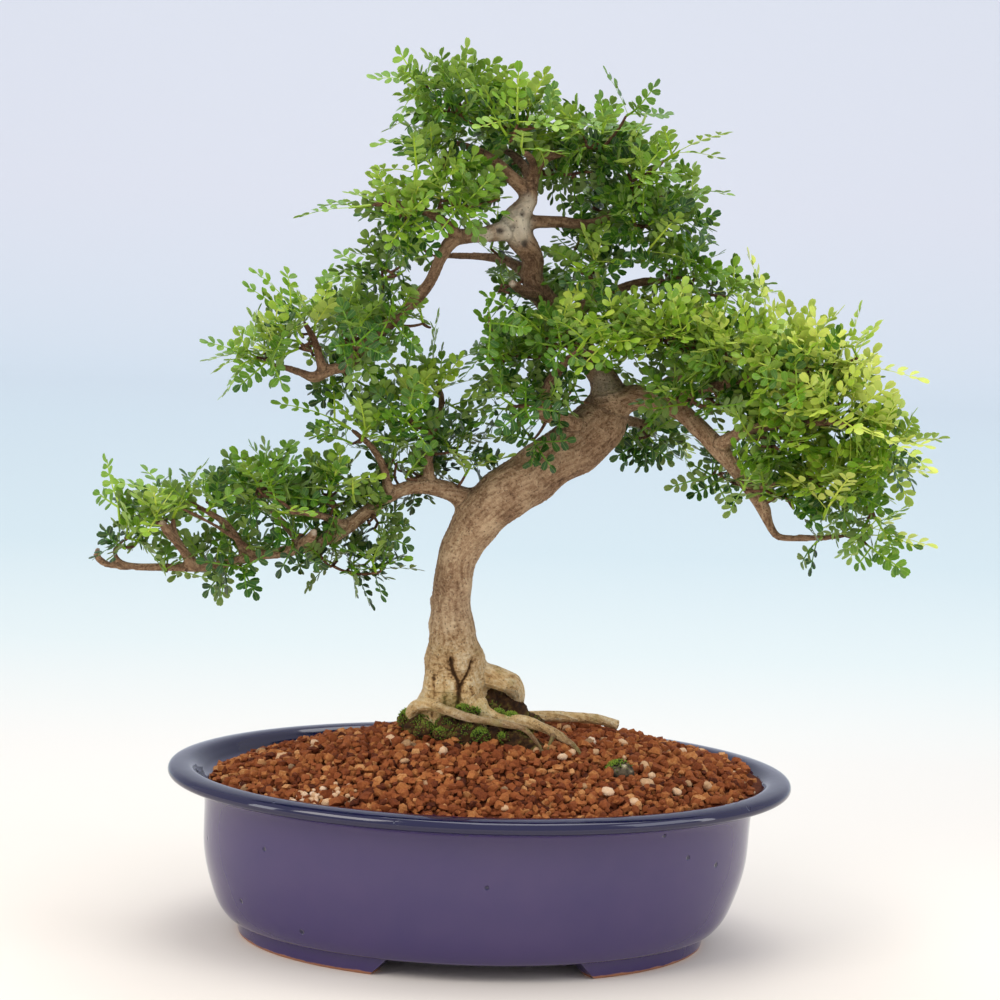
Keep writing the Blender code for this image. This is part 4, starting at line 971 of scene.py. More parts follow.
# where leafy shoots crowd: middle, half sizes along x, y and z, shoots, and how young they are (0 to 1)
crowns = [
    (-26, -4, 459, 24, 30, 22, 12, 0.75), (2, -24, 412, 12, 16, 8, 4, 0.5),
    (-38, -6, 469, 9, 12, 10, 4, 0.8), (8, 0, 449, 28, 45, 18, 14, 0.72),
    (50, 8, 442, 23, 40, 18, 12, 0.7), (-3, -26, 345, 9, 18, 22, 7, 0.4),
    (-32, -10, 428, 19, 32, 14, 8, 0.6), (36, 22, 424, 34, 30, 14, 10, 0.35),
    (-50, -22, 398, 23, 26, 14, 10, 0.65), (-23, -26, 408, 23, 24, 17, 10, 0.72),
    (-56, -22, 371, 22, 26, 12, 8, 0.4), (-4, 22, 380, 14, 22, 10, 3, 0.2),
    (-120, -42, 325, 17, 26, 9, 7, 0.65), (-98, -38, 333, 22, 32, 17, 12, 0.6),
    (-76, -32, 335, 22, 34, 20, 12, 0.5), (-54, -24, 346, 15, 28, 18, 9, 0.5),
    (-77, -10, 311, 20, 30, 7, 4, 0.2), (-36, -30, 342, 12, 18, 9, 5, 0.5),
    (-70, -36, 280, 18, 24, 9, 7, 0.6), (-47, -24, 293, 21, 30, 20, 11, 0.6),
    (-27, -8, 303, 14, 26, 15, 8, 0.7), (-19, 0, 272, 20, 34, 18, 9, 0.35),
    (-44, -10, 260, 24, 34, 14, 9, 0.35), (-16, -18, 260, 12, 14, 9, 5, 0.5),
    (-52, -20, 268, 12, 18, 9, 4, 0.45), (-194, -46, 227, 13, 22, 12, 6, 0.75),
    (-175, -46, 236, 20, 30, 13, 9, 0.6), (-149, -44, 244, 20, 32, 14, 10, 0.55),
    (-118, -38, 254, 23, 34, 18, 12, 0.6), (-85, -30, 248, 23, 34, 19, 12, 0.5),
    (-62, -22, 237, 18, 30, 18, 9, 0.35), (-76, -24, 212, 25, 26, 11, 7, 0.3),
    (-136, -34, 213, 34, 26, 12, 9, 0.35), (-58, -34, 210, 12, 16, 8, 4, 0.45),
    (-169, -46, 208, 13, 18, 7, 4, 0.45), (-190, -46, 221, 14, 16, 9, 5, 0.5),
    (-102, -40, 229, 20, 22, 12, 7, 0.4), (5, -2, 362, 15, 26, 14, 6, 0.4),
    (4, -8, 326, 20, 30, 18, 10, 0.68), (35, -14, 336, 23, 30, 19, 11, 0.68),
    (50, 10, 370, 18, 30, 18, 8, 0.55), (19, -28, 303, 24, 26, 14, 9, 0.58),
    (63, -10, 336, 22, 34, 23, 12, 0.75), (42, -16, 310, 16, 18, 12, 6, 0.55),
    (35, -22, 301, 12, 12, 9, 6, 0.5), (12, -16, 300, 14, 16, 12, 5, 0.4),
    (22, -14, 284, 11, 14, 7, 3, 0.45), (50, -14, 303, 10, 12, 9, 4, 0.5),
    (73, 14, 423, 20, 34, 15, 10, 0.68), (94, 22, 401, 18, 32, 15, 9, 0.6),
    (76, 6, 398, 20, 30, 12, 8, 0.4), (101, 26, 370, 25, 34, 13, 10, 0.55),
    (124, 28, 358, 13, 20, 6, 4, 0.6), (99, -10, 338, 30, 34, 18, 13, 0.85),
    (131, -30, 331, 30, 36, 20, 15, 0.92), (161, -48, 325, 27, 36, 23, 15, 0.97),
    (181, -58, 306, 24, 34, 21, 15, 1.0), (205, -56, 290, 21, 28, 15, 10, 1.0),
    (176, -60, 338, 12, 14, 9, 4, 1.0), (110, -24, 308, 29, 34, 11, 9, 0.6),
    (152, -44, 290, 28, 34, 17, 14, 0.85), (183, -44, 267, 25, 34, 20, 14, 0.8),
    (134, -52, 264, 12, 14, 9, 5, 0.5), (203, -46, 256, 14, 26, 16, 8, 0.85),
    (200, -42, 238, 13, 18, 12, 5, 0.85), (163, -44, 253, 12, 14, 8, 4, 0.65),
    (192, -58, 336, 10, 12, 7, 3, 1.0), (178, -44, 240, 13, 16, 8, 5, 0.7),
    (83, 28, 281, 15, 28, 10, 5, 0.3), (123, 10, 264, 20, 28, 8, 7, 0.35),
    (146, -52, 263, 11, 14, 11, 5, 0.55), (151, -35, 282, 22, 24, 12, 7, 0.45),
    (158, -38, 260, 18, 22, 10, 5, 0.4), (120, -20, 303, 20, 24, 12, 7, 0.5),
    (8, 56, 425, 28, 26, 16, 9, 0.45), (-46, 56, 382, 24, 22, 14, 8, 0.45),
    (20, 64, 354, 22, 24, 16, 8, 0.4), (34, 74, 344, 26, 24, 16, 8, 0.45),
    (116, 46, 326, 30, 28, 18, 11, 0.5), (88, 60, 286, 28, 26, 16, 9, 0.4),
    (-88, 26, 336, 26, 24, 14, 9, 0.45), (-116, 20, 234, 28, 24, 12, 9, 0.45),
    (62, 50, 400, 26, 26, 14, 8, 0.45), (42, 24, 383, 14, 16, 7, 4, 0.4),
    (84, 20, 366, 10, 14, 8, 3, 0.5), (108, 20, 407, 9, 12, 8, 3, 0.65), (64, 4, 456, 9, 10, 8, 3, 0.7)
]
# the branches whose shoots make one piece
foliagePieces = {
    "apex": ["apex_left", "apex_right", "apex_front"],
    "apex_back": ["apex_back", "back_left"],
    "upper_left": ["bare_knob_left", "mid_left_rise"],
    "mid_left": ["mid_left", "mid_left_back"],
    "left_inner": ["left_riser", "left_riser_outer"],
    "low_left": ["low_left", "low_left_rise", "low_left_end_rise"],
    "low_left_sides": ["low_left_front", "low_left_back"],
    "upper_right": ["upper_right", "upper_right_rise"],
    "middle": ["right_middle", "front_stub"],
    "right": ["right_main", "right_low"],
    "right_top": ["right_top", "right_front"],
    "right_back": ["right_back", "back_right", "back_middle"],
}


def leafOutline(start, aim, up, length, pairs):
    # the outer corners of a frame's leaf: two to each leaflet, two at the tip's shoulders, and the tip
    side = unit(np.cross(aim, up))
    up = np.cross(side, aim)
    pitch = (1 - leaves["petiole"]) * length / (pairs + 1.05)
    station = leaves["petiole"] * length + pitch * np.arange(1, pairs + 1)
    reach = 10.5 * np.r_[0.86, np.ones(pairs - 1)]
    along = np.r_[station - 0.62 * pitch, station + 0.04 * pitch, length - 0.2 * pitch, length]
    across = np.r_[0.93 * reach, reach, 4.4, 0.0]
    sink = leaves["arch"] * length * (along / length) ** 2
    middle = start + aim * (along - 0.3 * sink)[:, None] + up * (0.2 * across - sink)[:, None]
    return np.vstack((middle + side * across[:, None], middle - side * across[:, None]))


def frameShoot(number, attempt, anchor, twigAim):
    # the leaves of one of the frame's arrangements: (start, aim, up, length, pairs) for each
    draw = random.Random(leaves["seed"] + 100 * number + attempt)
    sway = 0.25 + 0.03 * attempt
    tilt = np.array([draw.uniform(-sway, sway) for _ in range(3)])
    count = 3 if attempt < leaves["fullTries"] and number % 2 else 2
    aim = unit(twigAim + tilt)
    face = np.array((draw.uniform(-0.3, 0.3), draw.uniform(-0.3, 0.3), 1.0))
    face = face + unit((anchor[0], anchor[1] * 1.3, 0)) * 0.5
    side = unit(np.cross(aim, face))
    face = np.cross(side, aim)
    step = 11.0 / count
    foot = anchor + twigAim * 1.2
    hand = draw.choice((-1, 1))
    found = []
    for k in range(count - 1):
        lift = draw.uniform(0.05, 0.5)
        out = unit(aim * draw.uniform(0.35, 0.75) + side * hand + face * lift)
        length = draw.uniform(*leaves["length"]) * 0.92
        found.append((foot + aim * step * (k + 1.5) + side * hand * 0.9, out, face, length, 2))
        hand = -hand
    lift = draw.uniform(-0.15, 0.3)
    ahead = unit(aim + face * lift + side * draw.uniform(-0.2, 0.2))
    found.append((foot + aim * 11.0, ahead, face, draw.uniform(*leaves["length"]), 3))
    return found


def bestShoot(number, anchor, twigAim):
    # of all the arrangements that the frame may have taken, the one that fills its node's box best
    low, high = (np.array(corner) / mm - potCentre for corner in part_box(f"spray_{number:02d}"))
    best = None
    for attempt in range(leaves["tries"]):
        found = frameShoot(number, attempt, anchor, twigAim)
        corners = np.vstack([leafOutline(*leaf) for leaf in found] + [anchor])
        miss = np.abs(corners.min(0) - low).sum() + np.abs(corners.max(0) - high).sum()
        if best is None or miss < best[0]:
            best = (miss, found)
    return best


def growTwigs(nodes, places):
    # from the places nearest to wood outwards, a twig to each from the nearest wood or earlier twig
    twigs = []
    gap = np.array([np.linalg.norm(nodes - place, axis=1).min() for place in places])
    for k in sorted(range(len(places)), key=lambda n: gap[n]):
        place = places[k]
        away = nodes - place
        cost = np.linalg.norm(away, axis=1) + 0.7 * np.maximum(away[:, 2], 0)   # they rather rise than hang
        start = nodes[cost.argmin()]
        reach = np.linalg.norm(place - start)
        middle = (start + place) / 2 + np.array((0, 0, -0.12 * reach))
        middle = middle + np.array((math.sin(k * 2.3), math.cos(k * 3.1), 0)) * 0.07 * reach
        share = np.linspace(0, 1, 7)[:, None]
        curve = start * (1 - share) ** 2 + middle * 2 * share * (1 - share) + place * share ** 2
        nodes = np.vstack((nodes, curve[2:]))
        twigs.append((k, curve))
    return twigs


def shootPlaces(draw):
    # in each crowd, places spread over its ellipsoid, more of them towards its skin, none too close together
    spots, aims, youthAndLight = [], [], []
    for x, y, z, wide, deep, high, count, youth in crowns:
        size = np.array((wide, deep, high), float)
        tries = unit(draw.normal(size=(count * 12, 3))) * (draw.random((count * 12, 1)) ** 0.42)
        full = len(spots) + count
        for ball in tries:
            reach = np.maximum(size - leaves["inset"], 0.3 * size)
            place = np.array((x, y, z - leaves["sunk"])) + ball * reach
            if all(np.linalg.norm(place - other) > leaves["apart"] for other in spots[-60:]):
                spots.append(place)
                out = unit(ball / size)
                aims.append(unit(out * 0.8 + zAxis * 0.55 + draw.normal(size=3) * 0.22))
                # the tone is the crowd's youth, raised towards the crowd's skin and top: partly the young
                # growth there, partly painted shade deep inside the crowd
                depth = np.linalg.norm(ball)
                youthAndLight.append(youth * (0.08 + 0.26 * youth + 0.48 * depth ** 2 + 0.5 * max(ball[2], -0.3)))
            if len(spots) == full:
                break
    return np.array(spots), np.array(aims), np.array(youthAndLight)


def shootLeaves(place, aim, youthAndLight, draw):
    # leaves leave a short stem in turn, a golden angle apart, the last ones nearly in line with it
    side = unit(np.cross(aim, (0.3, -1.0, 0.2)))
    over = np.cross(side, aim)
    count = int(draw.integers(*leaves["count"]))
    turn = draw.uniform(0, 2 * np.pi)
    stem = draw.uniform(4, 9)
    found = []
    for k in range(count):
        turn += math.radians(137.5) + draw.normal() * 0.2
        spread = math.radians(70 - 45 * k / max(count - 1, 1) + draw.normal() * 8)
        radial = side * math.cos(turn) + over * math.sin(turn)
        out = unit(aim * math.cos(spread) + radial * math.sin(spread))
        face = unit(aim * math.sin(spread) - radial * math.cos(spread) + zAxis * 0.35)
        length = draw.uniform(*leaves["grown"]) * (1.0 - 0.05 * k) * (0.85 + 0.35 * youthAndLight)
        pairs = int(np.clip(round(length * 0.8 / 5.0 - 0.6 + draw.normal() * 0.3), 2, 5))
        arch = draw.uniform(0.08, 0.3) * (1.1 - 0.5 * youthAndLight)
        base = place + aim * stem * (k + 1) / count
        found.append((base, out, face, length, pairs, arch, 0.78 + 0.22 * youthAndLight, youthAndLight))
    return found, (place, place + aim * stem)


def inClearing(found):
    # whether a leaf (its first numbers are start, direction, up and length) hides wood that is seen bare
    start, out, _, length = found[:4]
    spots = start + out * length * np.linspace(0, 1, 6)[:, None]
    for x, z, wide, high, y in leaves["clearings"]:
        seen = (np.abs(spots[:, 0] - x) < wide + 2) & (np.abs(spots[:, 2] - z) < high + 2)
        if (seen & (spots[:, 1] < y)).any():
            return True
    return False


def leafArrays(rows):
    # the leaves' numbers as arrays, with each leaf's own side and upward directions
    leaf = {title: np.array(column) for title, column in
            zip(("base", "aim", "up", "length", "pairs", "arch", "size", "youthAndLight"), zip(*rows))}
    leaf["side"] = unit(np.cross(leaf["aim"], leaf["up"]))
    leaf["up"] = np.cross(leaf["side"], leaf["aim"])
    return leaf


def ribPoint(leaf, along, across=0.0, lift=0.0):
    # the rib runs ahead and sinks by arch times length times the square of the share run
    sink = leaf["arch"] * leaf["length"] * (along / leaf["length"]) ** 2
    return (leaf["base"] + leaf["aim"] * (along - 0.3 * sink)[:, None] + leaf["side"] * across
            + leaf["up"] * (lift - sink)[:, None])


def ribs(leaf):
    # a thin three-sided bar along each rib, narrower to its tip
    shares = (0.0, 0.3, 0.62, 0.93)
    rings = []
    for share in shares:
        along = leaf["length"] * share
        half = 0.62 - 0.3 * share
        for across, lift in ((half, 0.0), (0.0, half * 0.5), (-half, 0.0)):
            rings.append(ribPoint(leaf, along, across, np.full(len(along), lift)))
    rings += [ribPoint(leaf, leaf["length"] * shares[0]), ribPoint(leaf, leaf["length"] * shares[-1])]
    points = np.stack(rings, axis=1)
    faces = tubeFaces(len(shares), 3)
    return points.reshape(-1, 3), copies(faces, len(points), points.shape[1])


# a leaflet: its rim from the base along the right edge to the tip and back, then two points twice
# on its middle line, for its upper and its lower face
leafletRim = np.array([
    (0, 0), (0.16, -0.25), (0.46, -0.47), (0.8, -0.46), (0.99, -0.2), (0.95, 0), (0.99, 0.2), (0.8, 0.46),
    (0.46, 0.47), (0.16, 0.25), (0.36, 0), (0.76, 0), (0.36, 0), (0.76, 0)])
upperFaces = np.array([(0, 1, 10), (1, 2, 10), (2, 11, 10), (2, 3, 11), (3, 4, 11), (4, 5, 11), (5, 6, 11),
                       (6, 7, 11), (7, 8, 11), (8, 10, 11), (8, 9, 10), (9, 0, 10)])
lowerFaces = np.where(upperFaces >= 10, upperFaces + 2, upperFaces)[:, ::-1]


def leaflets(leaf, draw):
    # pairs of small spoon-shaped blades along each rib and one at its tip, slightly cupped
    whole = 2 * leaf["pairs"] + 1
    owner = np.repeat(np.arange(len(whole)), whole)
    order = np.arange(len(owner)) - np.repeat(np.cumsum(whole) - whole, whole)
    own = {title: column[owner] for title, column in leaf.items()}
    last = order == whole[owner] - 1
    pair = order // 2
    hand = np.where(order % 2, -1.0, 1.0)
    pitch = (1 - leaves["petiole"]) * own["length"] / (own["pairs"] + 0.55)
    along = leaves["petiole"] * own["length"] + pitch * (pair + 0.1)
    along = np.where(last, leaves["petiole"] * own["length"] + pitch * (own["pairs"] - 0.35), along)
    base = ribPoint(own, along)
    ahead = unit(ribPoint(own, along + 0.5) - ribPoint(own, along - 0.5))
    up = unit(np.cross(own["side"], ahead))
    splay = np.radians(66 - 12 * pair / own["pairs"]) + draw.normal(size=len(owner)) * 0.09
    splay = np.where(last, draw.normal(size=len(owner)) * 0.06, splay)
    rise = draw.normal(size=(len(owner), 1)) * 0.13 + 0.2
    out = unit(ahead * np.cos(splay)[:, None] + own["side"] * (hand * np.sin(splay))[:, None] + up * rise)
    roll = draw.normal(size=(len(owner), 1)) * 0.2
    normal = unit(up - out * (up * out).sum(1, keepdims=True) + np.cross(out, up) * roll)
    across = np.cross(normal, out)
    grown = 0.74 + 0.3 * np.sin(np.pi * (pair + 0.9) / (own["pairs"] + 1.2))
    grown = np.where(last, 1.0, grown) * own["size"] * draw.uniform(0.93, 1.07, len(owner))
    length, width = leaves["leaflet"][0] * grown, leaves["leaflet"][1] * grown
    width = width * np.where(last, 1.08, 1.0)
    t, w = leafletRim[:, 0], leafletRim[:, 1]
    height = np.zeros(len(t))
    height[10:12], height[12:14] = leaves["thick"] / 2, -leaves["thick"] / 2
    cup = draw.uniform(-0.05, 0.16, len(owner))[:, None] * length[:, None]
    droop = draw.uniform(0.0, 0.14, len(owner))[:, None] * length[:, None]
    lift = height + cup * np.abs(w) * 1.6 - droop * t ** 2
    points = (base[:, None] + out[:, None] * (t * length[:, None])[..., None]
              + across[:, None] * (w * width[:, None])[..., None] + normal[:, None] * lift[..., None])
    corners = len(t)
    faces = copies(np.vstack((upperFaces, lowerFaces)), len(owner), corners)
    # each leaflet's tone is its leaf's youth with the painted shade inside its crowd, and a little noise
    tone = np.clip(own["youthAndLight"] + draw.normal(size=len(owner)) * 0.05, 0.02, 1)
    under = np.tile(np.r_[np.zeros(len(upperFaces)), np.ones(len(lowerFaces))], len(owner))
    uv = np.tile(np.c_[t, 0.5 + w], (len(owner), 1))
    return points.reshape(-1, 3), faces, np.repeat(tone, corners), under, uv


def stems(lines, tones, thick=0.75):
    # the green stem of each shoot, four-sided
    parts = [tube(np.linspace(start, end, 3), np.array((thick, thick * 0.9, thick * 0.6)), 4)
             for start, end in lines]
    points, faces = joined(parts)
    return points, faces, np.repeat(tones, len(parts[0][0]))


def makeFoliage(name, grown, material, seed):
    # leaflets, ribs and stems joined in one mesh; ribs and stems are a little paler than their leaves
    draw = np.random.default_rng(seed)
    leaf = leafArrays(grown["rows"])
    blades, bladeFaces, tone, under, uv = leaflets(leaf, draw)
    bars, barFaces = ribs(leaf)
    barTone = np.repeat(np.clip(leaf["youthAndLight"] + 0.25, 0, 0.9), len(bars) // len(leaf["length"]))
    shoots, shootFaces, shootTone = stems(grown["lines"], np.array(grown["tones"]))
    points, faces = joined([(blades, bladeFaces), (bars, barFaces), (shoots, shootFaces)])
    plain = len(bars) + len(shoots)
    values = {
        "tone": np.concatenate((tone, barTone, shootTone)),
        "under": np.concatenate((under, np.zeros(len(barFaces) + len(shootFaces)))),
    }
    uv = np.vstack((uv, np.full((plain, 2), 0.9)))
    mesh = makeMesh(name, points, faces, values, uv, sharp=70)
    addPiece("foliage_" + name, mesh, material, grown["nodes"])


def growCrown(paths, material, bark):
    # the frame's own shoots, then the crowd of shoots round them, each with its twig
    draw = np.random.default_rng(31)
    grown = {name: {"rows": [], "lines": [], "tones": [], "nodes": []} for name in foliagePieces}
    anchors, owners = [], []
    worst = 0
    for number, (name, (points, radii)) in enumerate(paths.items(), 1):
        branch = name.split(" ")[0]
        owner = next(piece for piece, names in foliagePieces.items() if branch in names)
        aim = directions(points)[-1]
        anchor = points[-1] + aim * 0.3
        miss, found = bestShoot(number, anchor, aim)
        worst = max(worst, miss)
        right = np.clip((anchor[0] - 60) / 200, 0, 0.5)
        for start, out, up, length, pairs in found:
            youthAndLight = 0.5 + right + draw.normal() * 0.06
            short = leaves["frameShare"] + 0.3 * right
            turned = unit(up) + np.array((0, -0.35, 0.5))
            grown[owner]["rows"].append((start, out, turned, length * short, pairs + 1, leaves["arch"],
                                         short + 0.14, youthAndLight))
            grown[owner]["lines"].append((anchor, start))
            grown[owner]["tones"].append(0.7)
        grown[owner]["nodes"].append(f"spray_{number:02d}")
        anchors.append(anchor)
        owners.append(owner)
    report(f"frame shoots found, the worst box off by {worst:.1f} mm")
    anchors = np.array(anchors)
    spots, aims, youthAndLight = shootPlaces(draw)
    skeleton = np.vstack([smoothPath(route, 6 * len(route))[0] for _, route in branchRoutes.values()]
                         + [points for name, (points, _) in paths.items() if "twig" in name])
    twigs = growTwigs(skeleton, spots)
    twigParts = []
    for k, curve in twigs:
        reach = np.linalg.norm(curve[-1] - curve[0])
        thick = 0.8 + min(reach, 50) * 0.014
        twigParts.append(tube(curve, np.linspace(thick, 0.7, len(curve)), 5))
    for k, place in enumerate(spots):
        owner = owners[int(np.linalg.norm(anchors - place, axis=1).argmin())]
        # the shoot's youth with the painted shade inside its crowd, and some noise
        age = float(np.clip(youthAndLight[k] + draw.normal() * 0.08, 0.05, 1))
        found, line = shootLeaves(place, aims[k], age, draw)
        found = [leaf for leaf in found if not inClearing(leaf)]
        if len(found) > 1:
            grown[owner]["rows"] += found
            grown[owner]["lines"].append(line)
            grown[owner]["tones"].append(0.6)
    total = sum(len(some["rows"]) for some in grown.values())
    report(f"{len(spots)} shoots in crowds, {total} leaves")
    for seed, name in enumerate(foliagePieces):
        makeFoliage(name, grown[name], material, seed)
    points, faces = joined(twigParts)
    fill = {"relief": 0.5, "age": 0.0, "foot": 0.0, "bare": 0.0, "algae": 0.0, "crackShade": 0.0}
    values = {title: np.full(len(points), value) for title, value in fill.items()}
    values["grain"] = points / wood["grain"][0]
    addPiece("twigs", makeMesh("twigs", points, faces, values), bark)


# Moss

moss = {
    "height": (0.6, 1.6), "width": 0.9,
    # cushions of dark soil grown over with moss: x, y, z, radius and tufts
    "cushions": [(-10, -21, 129, 4.5, 300), (-3, -20, 129, 3.5, 160), (-22, -28, 118, 3.4, 110),
        (12, -32, 118, 3, 90), (-18, -21, 117, 9.3, 200), (-30, -12, 117, 10.3, 260),
        (-6, -24, 116, 9.3, 200), (5, -6, 127, 6, 30), (16, -20, 125, 5, 380), (9, -18, 127, 4, 220),
        (-39, -8, 121, 6.5, 420), (-34, 4, 118, 7, 260), (0, -31, 118, 5, 240), (-30, -22, 119, 5, 160),
        (28, 4, 117, 6, 160), (24, -22, 120, 4, 160)],
    # balls of dark soil without moss under the looping root and the front roots
    "mass": [(2, 4, 130, 10), (11, 5, 129, 8.5), (16, 5, 123, 9), (22, 8, 117, 8), (-30, -12, 117, 10),
        (-18, -21, 117, 9), (-6, -24, 116, 9), (6, -26, 115, 9), (17, -27, 113, 9), (27, -29, 110, 8),
        (-6, -14, 122, 10), (10, -12, 120, 10)],
    "stone": (75, -50, 7.5),  # x, y and radius of the mossy stone
    "stoneTufts": 260,
}


def tufts(places, ups, draw):
    # a three-sided spike on each place, leaning a little
    count = len(places)
    lean = unit(ups + draw.normal(size=(count, 3)) * 0.35)
    side = unit(np.cross(lean, draw.normal(size=(count, 3))))
    over = np.cross(lean, side)
    tall = draw.uniform(*moss["height"], count)[:, None]
    wide = moss["width"] * draw.uniform(0.7, 1.2, count)[:, None] / 2
    corner = [places - lean * 0.4 + (side * math.cos(a) + over * math.sin(a)) * wide
              for a in (0, 2 * math.pi / 3, 4 * math.pi / 3)]
    points = np.stack((*corner, places + lean * tall), axis=1)
    faces = np.array(((0, 1, 3), (1, 2, 3), (2, 0, 3), (0, 2, 1)))
    tone = np.tile((0.1, 0.1, 0.1, 0.85), count) + np.repeat(draw.normal(size=count) * 0.12, 4)
    return points.reshape(-1, 3), copies(faces, count, 4), np.clip(tone, 0, 1)


def makeMoss(material, soilMaterial, stoneMaterial):
    # tufts over the cushions and one stone, then the dark balls of soil and the stone itself under them,
    # whose skins wander by noise
    draw = np.random.default_rng(41)
    places, ups = [], []
    for x, y, z, radius, count in moss["cushions"]:
        ball = unit(draw.normal(size=(count, 3)) + (0, -0.5, 1.1))
        places.append(np.array((x, y, z)) + ball * radius * 0.97)
        ups.append(ball)
    x, y, radius = moss["stone"]
    level = float(soilHeight(np.array(x), np.array(y))) + 1.0
    ball = unit(draw.normal(size=(moss["stoneTufts"], 3)) * 0.7 + (-0.9, -0.2, 1.3))
    places.append(np.array((x, y, level)) + ball * radius * np.array((1, 0.9, 0.8)))
    ups.append(ball)
    points, faces, tone = tufts(np.vstack(places), np.vstack(ups), draw)
    addPiece("moss", makeMesh("moss", points, faces, {"tone": tone}), material)
    balls = np.array(moss["mass"] + [row[:4] for row in moss["cushions"]], float)
    dark, darkFaces = lumps(balls[:, :3], balls[:, 3], np.zeros((len(balls), 2)), 6, 16, 22, 0.95, 0.1)
    dark = dark + unit(dark - balls[:, :3].mean(0)) * (smoothNoise(dark, 1.9, 8) * 1.5)[:, None]
    speckle = np.clip(0.22 + smoothNoise(dark, 1.3, 12) * 0.5 + smoothNoise(dark, 5, 13) * 0.25, 0, 0.9)
    mesh = makeMesh("mossy soil", dark, darkFaces, {"tone": speckle})
    addPiece("mossy_soil", mesh, soilMaterial)
    spot = np.array([(x, y, level)])
    stone, stoneFaces = lumps(spot, np.array([radius]), np.zeros((1, 2)), 5, 16, 24, 0.85, 0.04)
    stone = stone + unit(stone - (x, y, level)) * (smoothNoise(stone, 3.5, 9) * 1.2)[:, None]
    spotted = np.clip(0.25 + smoothNoise(stone, 2.2, 10) * 0.9, 0, 1)
    mesh = makeMesh("mossy stone", stone, stoneFaces, {"tone": spotted})
    addPiece("mossy_stone", mesh, stoneMaterial)


# Stage, lights and camera

studio = {
    "camera": (-0.008, -2.0, 0.545), "down": 8.6, "roll": 1.98, "focal": 134.57,    # metres, degrees, mm
    "usual": "#e6e4df",
    "paper": [(0.0, "#f3ebe1"), (0.13, "#e6e4df"), (0.23, "#d9e3e3"), (0.36, "#d2e2e7"), (0.59, "#dcebf3"),
              (0.72, "#e2eef7"), (0.86, "#e9ecf5")],
    "sheet": (-4.5, 3.4, 5.0),    # front edge, back and top of the sheet in metres
    "run": 3.6,               # length of the sheet from the pot back over which its colour changes
    "curve": 0.9,             # radius of its curve
    "room": 0.78, "walls": "#f5f6fa",       # brightness and colour of the room round it
    # name, place, target, size in metres, watts and colour
    "lights": [("softbox left", (-1.5, -1.5, 1.7), (0, 0, 0.25), (1.2, 1.2), 22, "#fffaf2"),
               ("softbox above", (0.2, 0.3, 2.2), (0, 0.2, 0.2), (1.8, 1.4), 22, "#ffffff"),
               ("softbox right", (1.7, -1.0, 1.2), (0, 0, 0.25), (1.0, 1.2), 9, "#f4f8ff"),
               ("strip left", (-1.7, -0.7, 0.4), (0, 0, 0.1), (0.35, 0.9), 3.5, "#ffffff"),
               ("strip right", (1.7, -0.5, 0.4), (0, 0, 0.1), (0.2, 0.9), 2, "#ffffff")],
}


def paperMaterial():
    # matt backdrop paper, which hardly mirrors and takes its colour from where along the sheet it lies
    made, tree, shader = newMaterial("studio paper", {
        "Base Color": hexColour(studio["usual"]), "Roughness": 0.9, "Specular IOR Level": 0.2})
    along = node(tree, "Attribute", attribute_name="run")
    part = node(tree, "MapRange", {"Value": along, "From Min": 0.0, "From Max": studio["run"]})
    wire(tree, shader, {"Base Color": node(tree, "ValToRGB", {"Fac": part}, studio["paper"])})
    return made


def makeStage():
    # a sheet that lies flat under the pot and curves up behind it
    turn = np.linspace(0, np.pi / 2, 16)
    front, back, top = studio["sheet"]
    curve = studio["curve"]
    y = np.r_[front, back - curve, back - curve + curve * np.sin(turn), back]
    z = np.r_[0, 0, curve - curve * np.cos(turn), top]
    x = np.linspace(-7, 7, 3)
    grid = np.stack(np.broadcast_arrays(x[None], y[:, None], z[:, None]), axis=-1).reshape(-1, 3)
    row, column = np.meshgrid(np.arange(len(y) - 1), np.arange(len(x) - 1), indexing="ij")
    a = (row * len(x) + column).ravel()
    mesh = bpy.data.meshes.new("sheet")
    mesh.from_pydata(grid.tolist(), [], np.c_[a, a + 1, a + 1 + len(x), a + len(x)].tolist())
    run = np.cumsum(np.r_[0, np.hypot(np.diff(y), np.diff(z))]) + y[0]
    layer = mesh.attributes.new("run", "FLOAT", "POINT")
    layer.data.foreach_set("value", np.repeat(run, len(x)).astype(np.float32))
    mesh.shade_smooth()
    mesh.materials.append(paperMaterial())
    sheet = placed("sheet", mesh)


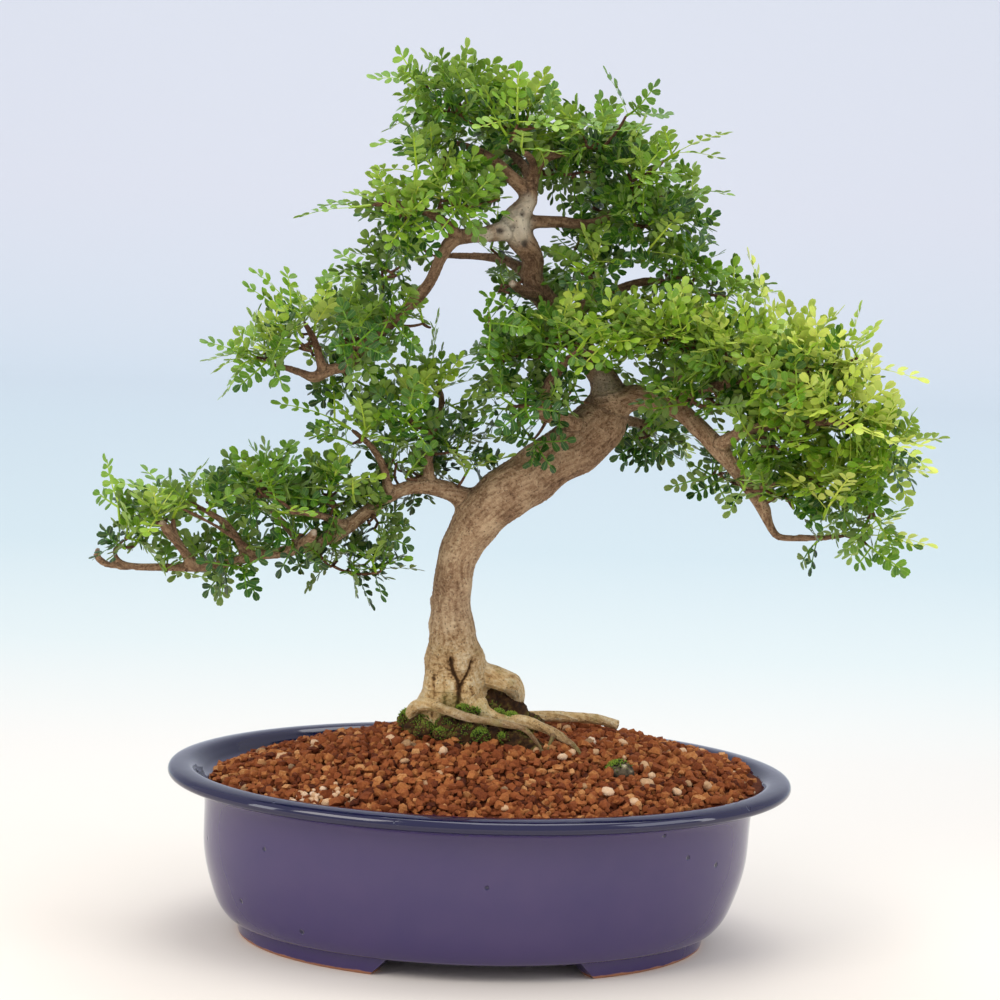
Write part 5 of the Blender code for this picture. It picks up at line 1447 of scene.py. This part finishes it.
def addLight(name, place, target, size, power, colour):
    # a rectangular lamp, turned so that its -Z axis runs from its place to the target
    light = bpy.data.lights.new(name, "AREA")
    light.shape = "RECTANGLE"
    light.size, light.size_y = size
    light.energy = power
    light.color = hexColour(colour)[:3]
    item = placed(name, light)
    item.location = place
    away = np.array(target, float) - np.array(place, float)
    tip = math.acos(-away[2] / np.linalg.norm(away))
    item.rotation_euler = (tip, 0, math.atan2(away[1], away[0]) - math.pi / 2)


def makeLights():
    # an evenly bright room, and the lamps in it
    world = bpy.data.worlds.new("room")
    world.use_nodes = True
    background = world.node_tree.nodes["Background"]
    wire(world.node_tree, background, {"Color": hexColour(studio["walls"]), "Strength": studio["room"]})
    bpy.context.scene.world = world
    for row in studio["lights"]:
        addLight(*row)
    bpy.context.scene.view_settings.view_transform = "Standard"


def makeCamera():
    # it looks along +Y and down by one angle, then rolls round its line of sight by the other
    data = bpy.data.cameras.new("camera")
    data.sensor_width = 36
    data.lens = studio["focal"]
    data.clip_start, data.clip_end = 0.05, 50
    camera = placed("camera", data)
    down, roll = math.radians(studio["down"]), math.radians(studio["roll"])
    back = np.array((0, -math.cos(down), math.sin(down)))
    right = np.array((1.0, 0, 0))
    up = np.cross(back, right)
    x = right * math.cos(roll) + up * math.sin(roll)
    y = up * math.cos(roll) - right * math.sin(roll)
    matrix = np.eye(4)
    matrix[:3] = np.column_stack((x, y, back, studio["camera"]))
    camera.matrix_world = Matrix(matrix.tolist())
    bpy.context.scene.camera = camera


makeCamera()
makeStage()
makeLights()
grit, paleGrit, soilMaterial, stoneMaterial = (gritMaterial(name) for name in (
    "fired clay grit", "pale stone grit", "damp peaty soil", "weathered stone"))
makePot(glazeMaterial())
makeMound(grit)
makeGrit(grit, paleGrit)
shootPaths = woodPlan()
bark = barkMaterial()
growCrown(shootPaths, leafMaterial(), bark)
makeWood(bark)
makeMoss(mossMaterial(), soilMaterial, stoneMaterial)
for screenName in ("drain_screen_left", "drain_screen_right"):
    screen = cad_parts[screenName]
    screen.data.materials.clear()
    screen.data.materials.append(screenMaterial())
